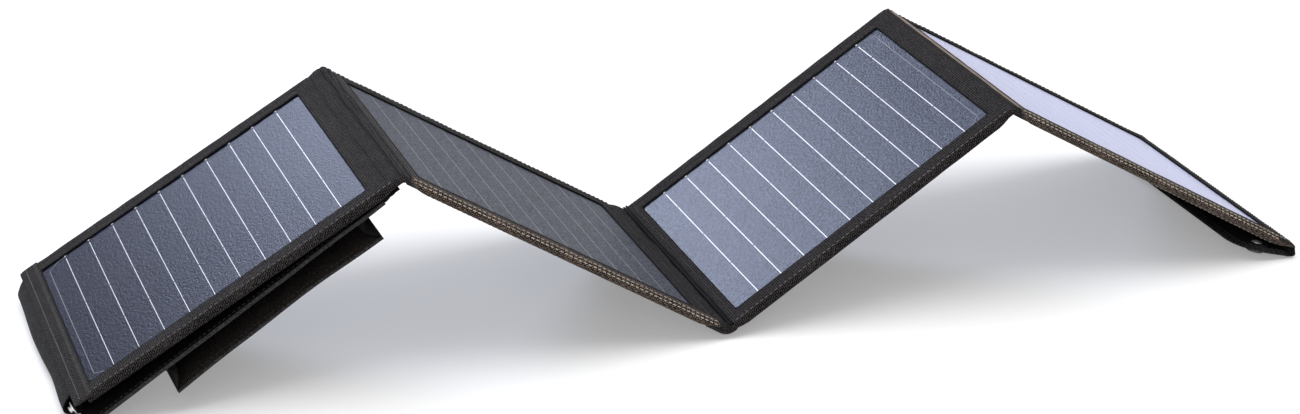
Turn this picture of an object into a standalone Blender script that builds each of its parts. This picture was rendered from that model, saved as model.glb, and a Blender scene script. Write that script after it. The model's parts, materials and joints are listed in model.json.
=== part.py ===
"""Folding solar phone charger: four solar panels sewn into one fabric strip.

The strip stands as a zigzag on its pocket, its valley fold and its far end.
Units are metres, +Z is up, X runs along the strip and Y along the folds.
Each panel is modelled in its own u, v, w frame: u along the strip from the
left edge of its solar window, v along the folds from the middle of the panel,
and w up from its face fabric.
"""

import math

import bmesh
import bpy
from mathutils import Vector

MM = 0.001
GAP = 0.3 * MM            # air left between two pieces that touch

# Solar window and what lies under it
WINDOW_L = 134.0 * MM     # window along the strip
WINDOW_W = 135.0 * MM     # window along the folds
LAMINATE_LAP = 2.0 * MM   # laminate hidden under the cover on each side
COVER_T = 0.5 * MM
LAMINATE_T = 0.8 * MM
STIFFENER_T = 0.7 * MM
LEAD_T = 0.3 * MM
LEAD_W = 8.0 * MM
LEAD_V = 42.0 * MM        # leads and terminals sit this far from the middle
CAP_L = 24.0 * MM         # terminal cap along the strip
CAP_W = 14.0 * MM

# Fabric frame around each window
COVER_MARGIN = 4.5 * MM   # cover beside the window, before the hem
HEM_W = 6.7 * MM
END_MARGIN = 2.5 * MM     # cover beyond the window at the strip's two ends
END_HEM_W = 6.2 * MM
HEM_ROUND = 0.7 * MM
STIFFENER_TUCK = 3.0 * MM  # stiffener pushed into the hems

# Folds: distance from the window to the fold axis, before and after the fold
SPINE_OUT = (16.0 * MM, 17.0 * MM, 10.0 * MM)
SPINE_IN = (10.0 * MM, 10.0 * MM, 10.0 * MM)
SPINE_COVER_OUT = (6.0 * MM, 6.0 * MM, 5.0 * MM)
SPINE_COVER_IN = (5.0 * MM, 5.0 * MM, 5.0 * MM)
AXIS_LIFT = 0.4 * MM      # axis above the side that closes on itself
SPINE_T = 0.8 * MM        # strip of a ridge fold
SPINE_SPLIT = 1.4 * MM    # half the slit that the fold axis runs in
TILT_2 = math.radians(-32.4)
TILT_3 = math.radians(32.2)

# Pocket behind panel 1
POCKET_T = 0.8 * MM
POCKET_DEPTH = 7.2 * MM   # clear depth at its open left side
POCKET_SEAM = 0.6 * MM    # clear depth at its seam
POCKET_SEAM_U = 3.0 * MM  # seam beyond the window
POCKET_OVER = 10.5 * MM   # pocket panel before the window
POCKET_MARGIN = 9.5 * MM  # pocket panel beside the window
PIPING_R = 0.7 * MM
GUSSET_T = 0.8 * MM
GUSSET_BULGE = 3.6 * MM
GUSSET_SETBACK = 14.0 * MM  # gusset starts this far inside the mouth

# Accessory pouch on the pocket panel
POUCH_START = 26.0 * MM   # from the window's left edge
POUCH_L = 102.0 * MM
POUCH_T = 0.9 * MM
POUCH_NEAR = 2.0 * MM     # pouch edge behind the pocket's near edge
POUCH_DEEP = 106.0 * MM   # from the mouth to the far gusset
PLEAT_IN = 5.0 * MM       # how far the side gussets fold inwards

# Charge controller in the pouch
CASE_L = 62.0 * MM
CASE_W = 36.0 * MM
CASE_WALL = 1.0 * MM
CASE_FROM_LEFT = 24.0 * MM  # case from the pouch's left gusset
CASE_FROM_MOUTH = 44.0 * MM
USB_L = 13.1 * MM
USB_H = 5.7 * MM
CASE_H = USB_H + 2 * GAP + 2 * CASE_WALL
CASE_ROOM = 0.9 * MM       # air between the case and the pouch's cloth
POUCH_CLEAR = CASE_H + CASE_ROOM
USB_DEEP = 14.0 * MM
USB_WALL = 0.3 * MM
USB_PITCH = 24.0 * MM
USB_FRONT = 0.2 * MM      # socket mouth behind the case's front face
BOARD_T = 1.2 * MM
POST_R = 2.0 * MM
LENS_R = 1.5 * MM
LENS_LENGTH = 4.0 * MM

# Closing flap at the right end
FLAP_L = 27.0 * MM
FLAP_T = 1.2 * MM
FLAP_ROOT = 1.5 * MM      # flap starts this far from its axis
FLAP_SIDE = 0.5 * MM      # flap's side edge inside the panel's edge
FLAP_CORNER = 15.0 * MM
FLAP_AXIS_OUT = 1.5 * MM
FLAP_ANGLE = math.radians(164.4)
SNAP_FROM_AXIS = 14.0 * MM
SNAP_FROM_SIDE = 9.0 * MM
SNAP_CAP_R = 5.0 * MM
SNAP_CAP_T = 0.9 * MM
SNAP_SOCKET_R = 3.8 * MM
SNAP_SOCKET_T = 1.6 * MM
SNAP_POST_R = 1.5 * MM
STUD_BASE_R = 2.9 * MM
STUD_BASE_T = 0.6 * MM
STUD_POST_R = 1.4 * MM
STUD_POST_T = 1.5 * MM

# Levels of each layer under the face fabric
LAMINATE_TOP = -COVER_T - GAP
LAMINATE_BOTTOM = LAMINATE_TOP - LAMINATE_T
STIFFENER_TOP = LAMINATE_BOTTOM - GAP
STIFFENER_BOTTOM = STIFFENER_TOP - STIFFENER_T
LEAD_TOP = STIFFENER_BOTTOM - GAP
LEAD_BOTTOM = LEAD_TOP - LEAD_T
BACK_TOP = LEAD_BOTTOM - GAP
PANEL_T = COVER_T - BACK_TOP
RIDGE_AXIS_W = AXIS_LIFT
VALLEY_AXIS_W = -PANEL_T - AXIS_LIFT

COVER_V = WINDOW_W / 2 + COVER_MARGIN
HEM_V0 = COVER_V + GAP
HEM_V1 = HEM_V0 + HEM_W
SPINE_V = HEM_V1 - HEM_ROUND

COLOURS = {
    "fabric": ((0.022, 0.021, 0.022, 1), 0.9, 0.0),
    "hem": ((0.035, 0.031, 0.029, 1), 0.85, 0.0),
    "solar": ((0.11, 0.13, 0.19, 1), 0.35, 0.0),
    "board": ((0.12, 0.11, 0.10, 1), 0.8, 0.0),
    "copper": ((0.45, 0.25, 0.14, 1), 0.4, 0.9),
    "plastic": ((0.02, 0.02, 0.022, 1), 0.5, 0.0),
    "metal": ((0.62, 0.62, 0.64, 1), 0.25, 1.0),
    "circuit": ((0.03, 0.16, 0.07, 1), 0.5, 0.0),
    "lens": ((0.1, 0.55, 0.2, 1), 0.2, 0.0),
    "piping": ((0.16, 0.15, 0.15, 1), 0.8, 0.0),
}


def material_for(name, look):
    """Principled material of one piece."""
    colour, roughness, metallic = COLOURS[look]
    material = bpy.data.materials.new(name)
    material.use_nodes = True
    shader = material.node_tree.nodes["Principled BSDF"]
    shader.inputs["Base Color"].default_value = colour
    shader.inputs["Roughness"].default_value = roughness
    shader.inputs["Metallic"].default_value = metallic
    material.diffuse_color = colour
    return material


def finish_piece(name, mesh_edit, parent, place, look):
    """Turn an edited mesh into a named object under its parent."""
    bmesh.ops.remove_doubles(mesh_edit, verts=mesh_edit.verts, dist=1e-7)
    bmesh.ops.recalc_face_normals(mesh_edit, faces=mesh_edit.faces)
    mesh = bpy.data.meshes.new(name)
    mesh_edit.to_mesh(mesh)
    mesh_edit.free()
    piece = bpy.data.objects.new(name, mesh)
    bpy.context.scene.collection.objects.link(piece)
    piece.parent = parent
    piece.location = place
    piece.data.materials.append(material_for(name, look))
    return piece


def block(name, low, high, parent, place, look):
    """Box between two corners."""
    edit = bmesh.new()
    bmesh.ops.create_cube(edit, size=1)
    for vert in edit.verts:
        vert.co = Vector((low[i] if vert.co[i] < 0 else high[i] for i in range(3)))
    return finish_piece(name, edit, parent, place, look)


def ring_plate(name, outer, inner, bottom, top, parent, place, look):
    """Plate with one rectangular opening; outlines are (x0, y0, x1, y1)."""
    edit = bmesh.new()
    loops = []
    for x0, y0, x1, y1 in (outer, inner):
        corners = ((x0, y0), (x1, y0), (x1, y1), (x0, y1))
        loops.append([edit.verts.new((x, y, bottom)) for x, y in corners])
    for i in range(4):
        j = (i + 1) % 4
        edit.faces.new((loops[0][i], loops[0][j], loops[1][j], loops[1][i]))
    raise_faces(edit, (0, 0, top - bottom))
    return finish_piece(name, edit, parent, place, look)


def raise_faces(edit, shift):
    """Extrude every face of a flat mesh by one vector."""
    extruded = bmesh.ops.extrude_face_region(edit, geom=list(edit.faces))
    moved = [item for item in extruded["geom"] if isinstance(item, bmesh.types.BMVert)]
    bmesh.ops.translate(edit, verts=moved, vec=shift)


def outline_prism(name, points, shift, parent, place, look):
    """Prism on a closed outline of 3-D points, extruded along one vector."""
    edit = bmesh.new()
    edit.faces.new([edit.verts.new(point) for point in points])
    raise_faces(edit, shift)
    return finish_piece(name, edit, parent, place, look)


def turned(name, profile, parent, place, look, steps=24):
    """Solid of revolution about Z from (radius, height) points on the axis at both ends."""
    edit = bmesh.new()
    verts = [edit.verts.new((radius, 0, height)) for radius, height in profile]
    edges = [edit.edges.new(pair) for pair in zip(verts, verts[1:])]
    bmesh.ops.spin(edit, geom=verts + edges, cent=(0, 0, 0), axis=(0, 0, 1),
                   angle=2 * math.pi, steps=steps)
    piece = finish_piece(name, edit, parent, place, look)
    piece.data.shade_smooth()
    piece.data.set_sharp_from_angle(angle=math.radians(35))
    return piece


def round_edges(piece, radius, segments=2):
    """Soft edges on a piece."""
    bevel = piece.modifiers.new("round", "BEVEL")
    bevel.width = radius
    bevel.segments = segments
    bevel.limit_method = "ANGLE"
    return bevel


def cut_with(piece, cutter):
    """Subtract a hidden cutter from a piece."""
    cutter.hide_render = True
    cutter.display_type = "WIRE"
    cut = piece.modifiers.new("cut", "BOOLEAN")
    cut.operation = "DIFFERENCE"
    cut.solver = "EXACT"
    cut.object = cutter


def cylinder(name, radius, low, high, parent, place, look, sides=24):
    """Upright cylinder on its local Z axis."""
    profile = ((0, low), (radius, low), (radius, high), (0, high))
    return turned(name, profile, parent, place, look, sides)


def empty(name, parent, place, turn_y=0.0):
    """Frame for the pieces of one body, with its origin on the body's joint axis."""
    frame = bpy.data.objects.new(name, None)
    bpy.context.scene.collection.objects.link(frame)
    frame.parent = parent
    frame.location = place
    frame.rotation_euler = (0, turn_y, 0)
    return frame


def hem_profile(start, end, direction):
    """Folded hem tape in (across, w): open towards the panel."""
    wall = COVER_T
    inner = end - wall
    shape = ((start, 0), (end, 0), (end, -PANEL_T), (start, -PANEL_T),
             (start, -PANEL_T + wall), (inner, -PANEL_T + wall), (inner, -wall), (start, -wall))
    return [(direction * across, w) for across, w in shape]


def hem_along_u(name, side, u0, u1, parent, place):
    """Hem of a long side; side is -1 at the near edge and 1 at the far edge."""
    points = [(u0, v, w) for v, w in hem_profile(HEM_V0, HEM_V1, side)]
    piece = outline_prism(name, points, (u1 - u0, 0, 0), parent, place, "hem")
    round_edges(piece, HEM_ROUND / 3)
    return piece


def hem_along_v(name, start, end, direction, parent, place):
    """Hem across one end of the strip."""
    points = [(u, -COVER_V, w) for u, w in hem_profile(start, end, direction)]
    piece = outline_prism(name, points, (0, 2 * COVER_V, 0), parent, place, "hem")
    round_edges(piece, HEM_ROUND / 3)
    return piece


def build_panel(number, cover_left, cover_right, hem_left, hem_right, parent, place):
    """The layers and hems of one solar panel."""
    u0 = -cover_left
    u1 = WINDOW_L + cover_right
    window = (0, -WINDOW_W / 2, WINDOW_L, WINDOW_W / 2)
    cover = (u0, -COVER_V, u1, COVER_V)
    ring_plate(f"front_cover_{number}", cover, window, -COVER_T, 0, parent, place, "fabric")
    block(f"solar_laminate_{number}",
          (-LAMINATE_LAP, -WINDOW_W / 2 - LAMINATE_LAP, LAMINATE_BOTTOM),
          (WINDOW_L + LAMINATE_LAP, WINDOW_W / 2 + LAMINATE_LAP, LAMINATE_TOP),
          parent, place, "solar")
    stiff_v = HEM_V0 + STIFFENER_TUCK
    cap_u = WINDOW_L / 2
    cap = (cap_u - CAP_L / 2, LEAD_V - CAP_W / 2, cap_u + CAP_L / 2, LEAD_V + CAP_W / 2)
    hole = (cap[0] - GAP, cap[1] - GAP, cap[2] + GAP, cap[3] + GAP)
    stiffener = (u0 + GAP, -stiff_v, u1 - GAP, stiff_v)
    ring_plate(f"stiffener_board_{number}", stiffener, hole, STIFFENER_BOTTOM, STIFFENER_TOP,
               parent, place, "board")
    block(f"terminal_cap_{number}", (cap[0], cap[1], STIFFENER_BOTTOM),
          (cap[2], cap[3], STIFFENER_TOP), parent, place, "plastic")
    block(f"back_cover_{number}", (u0, -COVER_V, -PANEL_T), (u1, COVER_V, BACK_TOP),
          parent, place, "fabric")
    hem_along_u(f"near_hem_{number}", -1, -hem_left, WINDOW_L + hem_right, parent, place)
    hem_along_u(f"far_hem_{number}", 1, -hem_left, WINDOW_L + hem_right, parent, place)


def spine_strip(name, near_axis, at_cover, ridge, parent, place):
    """Half of a fold's fabric, from the cover's edge to the fold axis."""
    top = 0 if ridge else BACK_TOP
    bottom = -SPINE_T if ridge else -PANEL_T
    u0 = min(near_axis, at_cover)
    u1 = max(near_axis, at_cover)
    return block(name, (u0, -SPINE_V, bottom), (u1, SPINE_V, top), parent, place, "fabric")


def lead_ribbon(name, fold, ridge, bend, parent):
    """Flat lead from one terminal cap to the next, bent at the fold; parent is the fold's frame."""
    axis_w = RIDGE_AXIS_W if ridge else VALLEY_AXIS_W
    sign = 1 if ridge else -1
    outgoing = []
    incoming = []
    for w in (LEAD_TOP, LEAD_BOTTOM):
        height = w - axis_w
        mitre = abs(height) * math.tan(bend / 2)
        outgoing.append((-(SPINE_OUT[fold] + WINDOW_L / 2 - CAP_L / 4), height))
        incoming.append((SPINE_IN[fold] + WINDOW_L / 2 - CAP_L / 4, height))
        outgoing.append((-mitre, height))
    top_start, top_mitre, low_start, low_mitre = outgoing
    turn = -sign * bend
    back = [(x * math.cos(turn) + z * math.sin(turn), -x * math.sin(turn) + z * math.cos(turn))
            for x, z in (top_start, top_mitre, low_mitre, low_start)]
    shape = [back[0], back[1], incoming[0], incoming[1], back[2], back[3]]
    points = [(x, LEAD_V - LEAD_W / 2, z) for x, z in shape]
    return outline_prism(name, points, (0, LEAD_W, 0), parent, (0, 0, 0), "copper")


def arc_points(centre, radius, start, end, count):
    """Points on an arc, angles in radians, both ends included."""
    return [(centre[0] + radius * math.cos(start + (end - start) * i / count),
             centre[1] + radius * math.sin(start + (end - start) * i / count))
            for i in range(count + 1)]


def bowed_wall(low, high, bulge, thickness, steps=8):
    """Outline of a thin wall from low to high (across, up), bowed by bulge at its middle."""
    outer = []
    inner = []
    for i in range(steps + 1):
        share = i / steps
        across = low[0] + (high[0] - low[0]) * share
        up = low[1] + (high[1] - low[1]) * share
        bow = bulge * math.sin(math.pi * share)
        outer.append((across + bow, up))
        inner.append((across + bow - math.copysign(thickness, bulge), up))
    return outer + inner[::-1]


def build_pocket(panel, place):
    """Pocket behind panel 1; its panel turns about the seam beside the first fold."""
    seam_u = WINDOW_L + POCKET_SEAM_U
    length = seam_u + POCKET_OVER
    wedge = math.atan((POCKET_DEPTH - POCKET_SEAM) / length)
    seam = Vector((seam_u, 0, -PANEL_T - POCKET_SEAM)) + Vector(place)
    pocket = empty("pocket_axis", panel, seam, -wedge)
    half = WINDOW_W / 2 + POCKET_MARGIN
    cloth = block("pocket_panel", (-length, -half, -POCKET_T), (0, half, 0), pocket,
                  (0, 0, 0), "fabric")
    round_edges(cloth, POCKET_T / 4)
    edge_v = -half - GAP - PIPING_R
    piping = cylinder("pocket_piping", PIPING_R, -length, 0, pocket,
                      (0, edge_v, -POCKET_T / 2), "piping", 10)
    piping.rotation_euler = (0, math.pi / 2, 0)
    build_pocket_gussets(panel, place, wedge, seam_u, half)
    build_pouch(pocket, seam_u, half)
    return pocket


def build_pocket_gussets(panel, place, wedge, seam_u, half):
    """Side wall bowed outwards at the strip's end, and the wedge-shaped wall along the far side."""
    def floor_at(u):
        return -PANEL_T - POCKET_SEAM - (seam_u - u) * math.tan(wedge)

    foot_u = -END_MARGIN - END_HEM_W + 2 * GUSSET_T
    low = (foot_u, floor_at(foot_u - GUSSET_BULGE) + 2 * GAP)
    high = (foot_u, -PANEL_T - GAP)
    wall = bowed_wall(low, high, -GUSSET_BULGE, GUSSET_T)
    start_v = -half + GUSSET_SETBACK
    end_v = half - GUSSET_T - GAP
    points = [(u, start_v, w) for u, w in wall]
    side = outline_prism("pocket_side_gusset", points, (0, end_v - start_v, 0), panel, place,
                         "fabric")
    side.data.shade_smooth()
    side.data.set_sharp_from_angle(angle=math.radians(35))
    left = foot_u - GUSSET_T
    outline = ((left, high[1]), (seam_u, high[1]), (seam_u, floor_at(seam_u) + GAP / 2),
               (left, floor_at(left) + GAP))
    points = [(u, half - GUSSET_T, w) for u, w in outline]
    outline_prism("pocket_far_gusset", points, (0, GUSSET_T, 0), panel, place, "fabric")
    middle = (low[1] + high[1]) / 2
    for name, v in (("snap_stud_near", -snap_v()), ("snap_stud_far", snap_v())):
        build_stud(name, panel, Vector(place) + Vector((foot_u - GUSSET_BULGE - GAP, v, middle)))


def snap_v():
    """Distance of both snaps from the middle of the strip."""
    return HEM_V1 - FLAP_SIDE - SNAP_FROM_SIDE - GUSSET_SETBACK / 2


def build_stud(name, parent, place):
    """Snap stud that stands out of the side gusset."""
    profile = ((0, 0), (STUD_BASE_R, 0), (STUD_BASE_R, STUD_BASE_T), (STUD_POST_R, STUD_BASE_T),
               (STUD_POST_R, STUD_BASE_T + STUD_POST_T), (0, STUD_BASE_T + STUD_POST_T))
    stud = turned(name, profile, parent, place, "metal", 16)
    stud.rotation_euler = (0, -math.pi / 2, 0)


def build_pouch(pocket, seam_u, half):
    """Open pouch under the pocket panel, and the charge controller in it."""
    x0 = POUCH_START - seam_u
    x1 = x0 + POUCH_L
    y0 = -half + POUCH_NEAR
    y1 = y0 + POUCH_DEEP
    top = -POCKET_T - GAP
    floor = -POCKET_T - POUCH_CLEAR
    cloth = block("pouch_panel", (x0, y0, floor - POUCH_T), (x1, y1, floor), pocket,
                  (0, 0, 0), "fabric")
    round_edges(cloth, POUCH_T / 4)
    low_z = floor + GAP
    for name, edge, bow in (("pouch_left_gusset", x0 + GUSSET_T, PLEAT_IN),
                            ("pouch_right_gusset", x1 - GUSSET_T, -PLEAT_IN)):
        wall = bowed_wall((edge, low_z), (edge, top), bow, GUSSET_T)
        points = [(x, y0 + GAP, z) for x, z in wall]
        gusset = outline_prism(name, points, (0, y1 - y0 - GUSSET_T - 3 * GAP, 0), pocket,
                               (0, 0, 0), "fabric")
        gusset.data.shade_smooth()
        gusset.data.set_sharp_from_angle(angle=math.radians(35))
    block("pouch_far_gusset", (x0, y1 - GUSSET_T, low_z), (x1, y1, top), pocket,
          (0, 0, 0), "fabric")
    case_x = x0 + CASE_FROM_LEFT
    case_y = y0 + CASE_FROM_MOUTH
    build_controller(pocket, case_x, case_y, top)


def build_controller(pocket, x0, y0, top):
    """Two-port charge controller: lid against the pocket panel, tray below it."""
    height = CASE_H
    floor = top - height
    lid_bottom = top - CASE_WALL
    x1 = x0 + CASE_L
    y1 = y0 + CASE_W
    lid = block("controller_lid", (x0, y0, lid_bottom), (x1, y1, top), pocket, (0, 0, 0),
                "plastic")
    round_edges(lid, CASE_WALL / 3)
    middle_z = floor + CASE_WALL + GAP + USB_H / 2
    centres = [x0 + CASE_L / 2 - USB_PITCH / 2, x0 + CASE_L / 2 + USB_PITCH / 2]
    build_tray(pocket, (x0, y0, floor), (x1, y1, lid_bottom - GAP), centres, middle_z)
    board = block("controller_board",
                  (x0 + CASE_WALL + GAP, y0 + CASE_WALL + GAP, middle_z - BOARD_T / 2),
                  (x1 - CASE_WALL - GAP, y1 - CASE_WALL - GAP, middle_z + BOARD_T / 2),
                  pocket, (0, 0, 0), "circuit")
    for index, centre in enumerate(centres):
        build_usb(f"usb_socket_{index + 1}", centre, y0 + USB_FRONT, middle_z, pocket)
        cutter = block(f"board_notch_{index + 1}",
                       (centre - USB_L / 2 - GAP, y0, middle_z - BOARD_T),
                       (centre + USB_L / 2 + GAP, y0 + USB_FRONT + USB_DEEP + GAP,
                        middle_z + BOARD_T), pocket, (0, 0, 0), "circuit")
        cut_with(board, cutter)
    build_lens(board, x0 + CASE_L / 2, y0, middle_z, pocket)


def build_tray(pocket, low, high, centres, middle_z):
    """Case tray with a notch for each socket, a hole for the light and posts for the board."""
    tray = block("controller_tray", low, high, pocket, (0, 0, 0), "plastic")
    hollow = block("tray_hollow", (low[0] + CASE_WALL, low[1] + CASE_WALL, low[2] + CASE_WALL),
                   (high[0] - CASE_WALL, high[1] - CASE_WALL, high[2] + CASE_WALL), pocket,
                   (0, 0, 0), "plastic")
    cut_with(tray, hollow)
    for index, centre in enumerate(centres):
        notch = block(f"tray_notch_{index + 1}",
                      (centre - USB_L / 2 - GAP, low[1] - CASE_WALL, low[2] + CASE_WALL),
                      (centre + USB_L / 2 + GAP, low[1] + 2 * CASE_WALL, high[2] + CASE_WALL),
                      pocket, (0, 0, 0), "plastic")
        cut_with(tray, notch)
    hole = cylinder("tray_light_hole", LENS_R + GAP, -CASE_WALL, 2 * CASE_WALL, pocket,
                    ((low[0] + high[0]) / 2, low[1], middle_z), "plastic")
    hole.rotation_euler = (-math.pi / 2, 0, 0)
    cut_with(tray, hole)
    post_top = middle_z - BOARD_T / 2 - GAP
    for index, share in enumerate((0.12, 0.88)):
        post = cylinder(f"tray_post_{index + 1}", POST_R, low[2] + CASE_WALL / 2, post_top,
                        pocket, (low[0] + share * (high[0] - low[0]),
                                 high[1] - CASE_WALL - 3 * POST_R, 0), "plastic", 16)
        post.hide_render = True
        post.display_type = "WIRE"
        join = tray.modifiers.new("post", "BOOLEAN")
        join.operation = "UNION"
        join.solver = "EXACT"
        join.object = post


def build_usb(name, centre, front, middle_z, pocket):
    """Socket shell, open towards the pouch's mouth."""
    outer = (centre - USB_L / 2, middle_z - USB_H / 2, centre + USB_L / 2, middle_z + USB_H / 2)
    shell = block(name, (outer[0], front, outer[1]), (outer[2], front + USB_DEEP, outer[3]),
                  pocket, (0, 0, 0), "metal")
    bore = block(f"{name}_bore", (outer[0] + USB_WALL, front - USB_WALL, outer[1] + USB_WALL),
                 (outer[2] - USB_WALL, front + USB_DEEP - USB_WALL, outer[3] - USB_WALL),
                 pocket, (0, 0, 0), "metal")
    cut_with(shell, bore)


def build_lens(board, centre, front, middle_z, pocket):
    """Charge light between the sockets, and the board's notch behind it."""
    lens = cylinder("status_lens", LENS_R, 0, LENS_LENGTH, pocket, (centre, front, middle_z),
                    "lens", 16)
    lens.rotation_euler = (-math.pi / 2, 0, 0)
    notch = block("board_lens_notch", (centre - LENS_R - GAP, front, middle_z - BOARD_T),
                  (centre + LENS_R + GAP, front + LENS_LENGTH + GAP, middle_z + BOARD_T),
                  pocket, (0, 0, 0), "circuit")
    cut_with(board, notch)


def build_flap(frame):
    """Closing flap with round corners and its two snap fasteners."""
    half = HEM_V1 - FLAP_SIDE
    tip = FLAP_L
    near = arc_points((tip - FLAP_CORNER, -half + FLAP_CORNER), FLAP_CORNER,
                      -math.pi / 2, 0, 10)
    far = arc_points((tip - FLAP_CORNER, half - FLAP_CORNER), FLAP_CORNER, 0, math.pi / 2, 10)
    outline = [(FLAP_ROOT, -half)] + near + far + [(FLAP_ROOT, half)]
    points = [(x, y, -FLAP_T / 2) for x, y in outline]
    flap = outline_prism("closing_flap", points, (0, 0, FLAP_T), frame, (0, 0, 0), "fabric")
    for name, side in (("near", -1), ("far", 1)):
        place = (SNAP_FROM_AXIS, side * (half - SNAP_FROM_SIDE), 0)
        hole = cylinder(f"flap_hole_{name}", SNAP_POST_R + GAP, -FLAP_T, FLAP_T, frame, place,
                        "fabric", 16)
        cut_with(flap, hole)
        build_snap(f"snap_fastener_{name}", frame, place)


def build_snap(name, frame, place):
    """Snap fastener through the flap: cap on its back, socket on its face."""
    face = FLAP_T / 2 + GAP
    mouth = face + SNAP_SOCKET_T
    profile = ((0, -face - SNAP_CAP_T), (SNAP_CAP_R * 0.7, -face - SNAP_CAP_T),
               (SNAP_CAP_R, -face - SNAP_CAP_T * 0.4), (SNAP_CAP_R, -face),
               (SNAP_POST_R, -face), (SNAP_POST_R, face), (SNAP_SOCKET_R, face),
               (SNAP_SOCKET_R, mouth), (STUD_POST_R + GAP, mouth),
               (STUD_POST_R + GAP, face + SNAP_SOCKET_T * 0.3), (0, face + SNAP_SOCKET_T * 0.3))
    turned(name, profile, frame, place, "metal", 20)


def foot_offset():
    """Lowest corner of the flap's root, in panel 4's u and w from its window."""
    x = FLAP_ROOT * math.cos(FLAP_ANGLE) + FLAP_T / 2 * math.sin(FLAP_ANGLE)
    z = -FLAP_ROOT * math.sin(FLAP_ANGLE) + FLAP_T / 2 * math.cos(FLAP_ANGLE)
    u = WINDOW_L + END_MARGIN + END_HEM_W + GAP + FLAP_AXIS_OUT
    return u + x, -PANEL_T - GAP - FLAP_T / 2 + z


def tilt_to_reach(along, below, height):
    """Slope at which a point, this far along and below an axis, lies this far under it."""
    reach = math.hypot(along, below)
    return math.asin(height / reach) - math.atan2(below, along)


def rest_tilts():
    """Slopes of the four panels that set the pocket, the valley and the flap on one level."""
    foot = SPINE_SPLIT * math.sin(-TILT_2) + AXIS_LIFT * math.cos(TILT_2)
    span_2 = SPINE_IN[0] + WINDOW_L + SPINE_OUT[1]
    drop = RIDGE_AXIS_W - VALLEY_AXIS_W
    ridge_1 = span_2 * math.sin(-TILT_2) + drop * math.cos(TILT_2) - foot
    span_3 = SPINE_IN[1] + WINDOW_L + SPINE_OUT[2]
    ridge_2 = span_3 * math.sin(TILT_3) + drop * math.cos(TILT_3) - foot
    pocket_below = RIDGE_AXIS_W + PANEL_T + POCKET_DEPTH + POCKET_T
    tilt_1 = tilt_to_reach(SPINE_OUT[0] + WINDOW_L + POCKET_OVER, pocket_below, ridge_1)
    u, w = foot_offset()
    tilt_4 = -tilt_to_reach(SPINE_IN[2] + u, RIDGE_AXIS_W - w, ridge_2)
    return tilt_1, TILT_2, TILT_3, tilt_4


def stand_on_origin(root):
    """Put the middle of the bounding box over the origin and its lowest point at Z = 0."""
    bpy.context.view_layer.update()
    depsgraph = bpy.context.evaluated_depsgraph_get()
    corners = []
    for piece in bpy.context.scene.objects:
        if piece.type != "MESH" or piece.hide_render:
            continue
        solid = piece.evaluated_get(depsgraph)
        corners += [solid.matrix_world @ vert.co for vert in solid.data.vertices]
    low = [min(corner[i] for corner in corners) for i in range(3)]
    high = [max(corner[i] for corner in corners) for i in range(3)]
    root.location = (-(low[0] + high[0]) / 2, -(low[1] + high[1]) / 2, -low[2])
    bpy.context.view_layer.update()


def main():
    """Build the charger in its standing zigzag."""
    for old in list(bpy.data.objects):
        bpy.data.objects.remove(old, do_unlink=True)

    tilts = rest_tilts()
    bends = [abs(after - before) for before, after in zip(tilts, tilts[1:])]
    root = empty("charger", None, (0, 0, 0))
    panel_1 = empty("panel_1_frame", root, (0, 0, 0), -tilts[0])
    fold_12 = empty("fold_12_axis", panel_1, (WINDOW_L + SPINE_OUT[0], 0, RIDGE_AXIS_W),
                    bends[0])
    origin_2 = (SPINE_IN[0], 0, -RIDGE_AXIS_W)
    fold_23 = empty("fold_23_axis", fold_12,
                    (SPINE_IN[0] + WINDOW_L + SPINE_OUT[1], 0, VALLEY_AXIS_W - RIDGE_AXIS_W),
                    -bends[1])
    origin_3 = (SPINE_IN[1], 0, -VALLEY_AXIS_W)
    fold_34 = empty("fold_34_axis", fold_23,
                    (SPINE_IN[1] + WINDOW_L + SPINE_OUT[2], 0, RIDGE_AXIS_W - VALLEY_AXIS_W),
                    bends[2])
    origin_4 = (SPINE_IN[2], 0, -RIDGE_AXIS_W)
    end_u = WINDOW_L + END_MARGIN + END_HEM_W + GAP
    flap_axis = empty("flap_axis", fold_34,
                      (SPINE_IN[2] + end_u + FLAP_AXIS_OUT, 0,
                       -PANEL_T - GAP - FLAP_T / 2 - RIDGE_AXIS_W), FLAP_ANGLE)

    end = END_MARGIN + GAP + END_HEM_W
    build_panel(1, END_MARGIN, SPINE_COVER_OUT[0], end, SPINE_COVER_OUT[0], panel_1, (0, 0, 0))
    build_panel(2, SPINE_COVER_IN[0], SPINE_COVER_OUT[1], SPINE_COVER_IN[0],
                SPINE_COVER_OUT[1], fold_12, origin_2)
    build_panel(3, SPINE_COVER_IN[1], SPINE_COVER_OUT[2], SPINE_COVER_IN[1],
                SPINE_COVER_OUT[2], fold_23, origin_3)
    build_panel(4, SPINE_COVER_IN[2], END_MARGIN, SPINE_COVER_IN[2], end, fold_34, origin_4)
    hem_along_v("end_hem_1", END_MARGIN + GAP, end, -1, panel_1, (0, 0, 0))
    hem_4 = Vector(origin_4) + Vector((WINDOW_L, 0, 0))
    hem_along_v("end_hem_4", END_MARGIN + GAP, end, 1, fold_34, hem_4)

    frames = (panel_1, fold_12, fold_23, fold_34)
    origins = ((0, 0, 0), origin_2, origin_3, origin_4)
    for fold, ridge in enumerate((True, False, True)):
        number = f"{fold + 1}{fold + 2}"
        spine_strip(f"spine_{number}_left", WINDOW_L + SPINE_OUT[fold] - SPINE_SPLIT,
                    WINDOW_L + SPINE_COVER_OUT[fold] + GAP, ridge, frames[fold], origins[fold])
        spine_strip(f"spine_{number}_right", -SPINE_IN[fold] + SPINE_SPLIT,
                    -SPINE_COVER_IN[fold] - GAP, ridge, frames[fold + 1], origins[fold + 1])
        lead_ribbon(f"lead_{number}", fold, ridge, bends[fold], frames[fold + 1])

    build_pocket(panel_1, (0, 0, 0))
    build_flap(flap_axis)
    stand_on_origin(root)


main()
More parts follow.
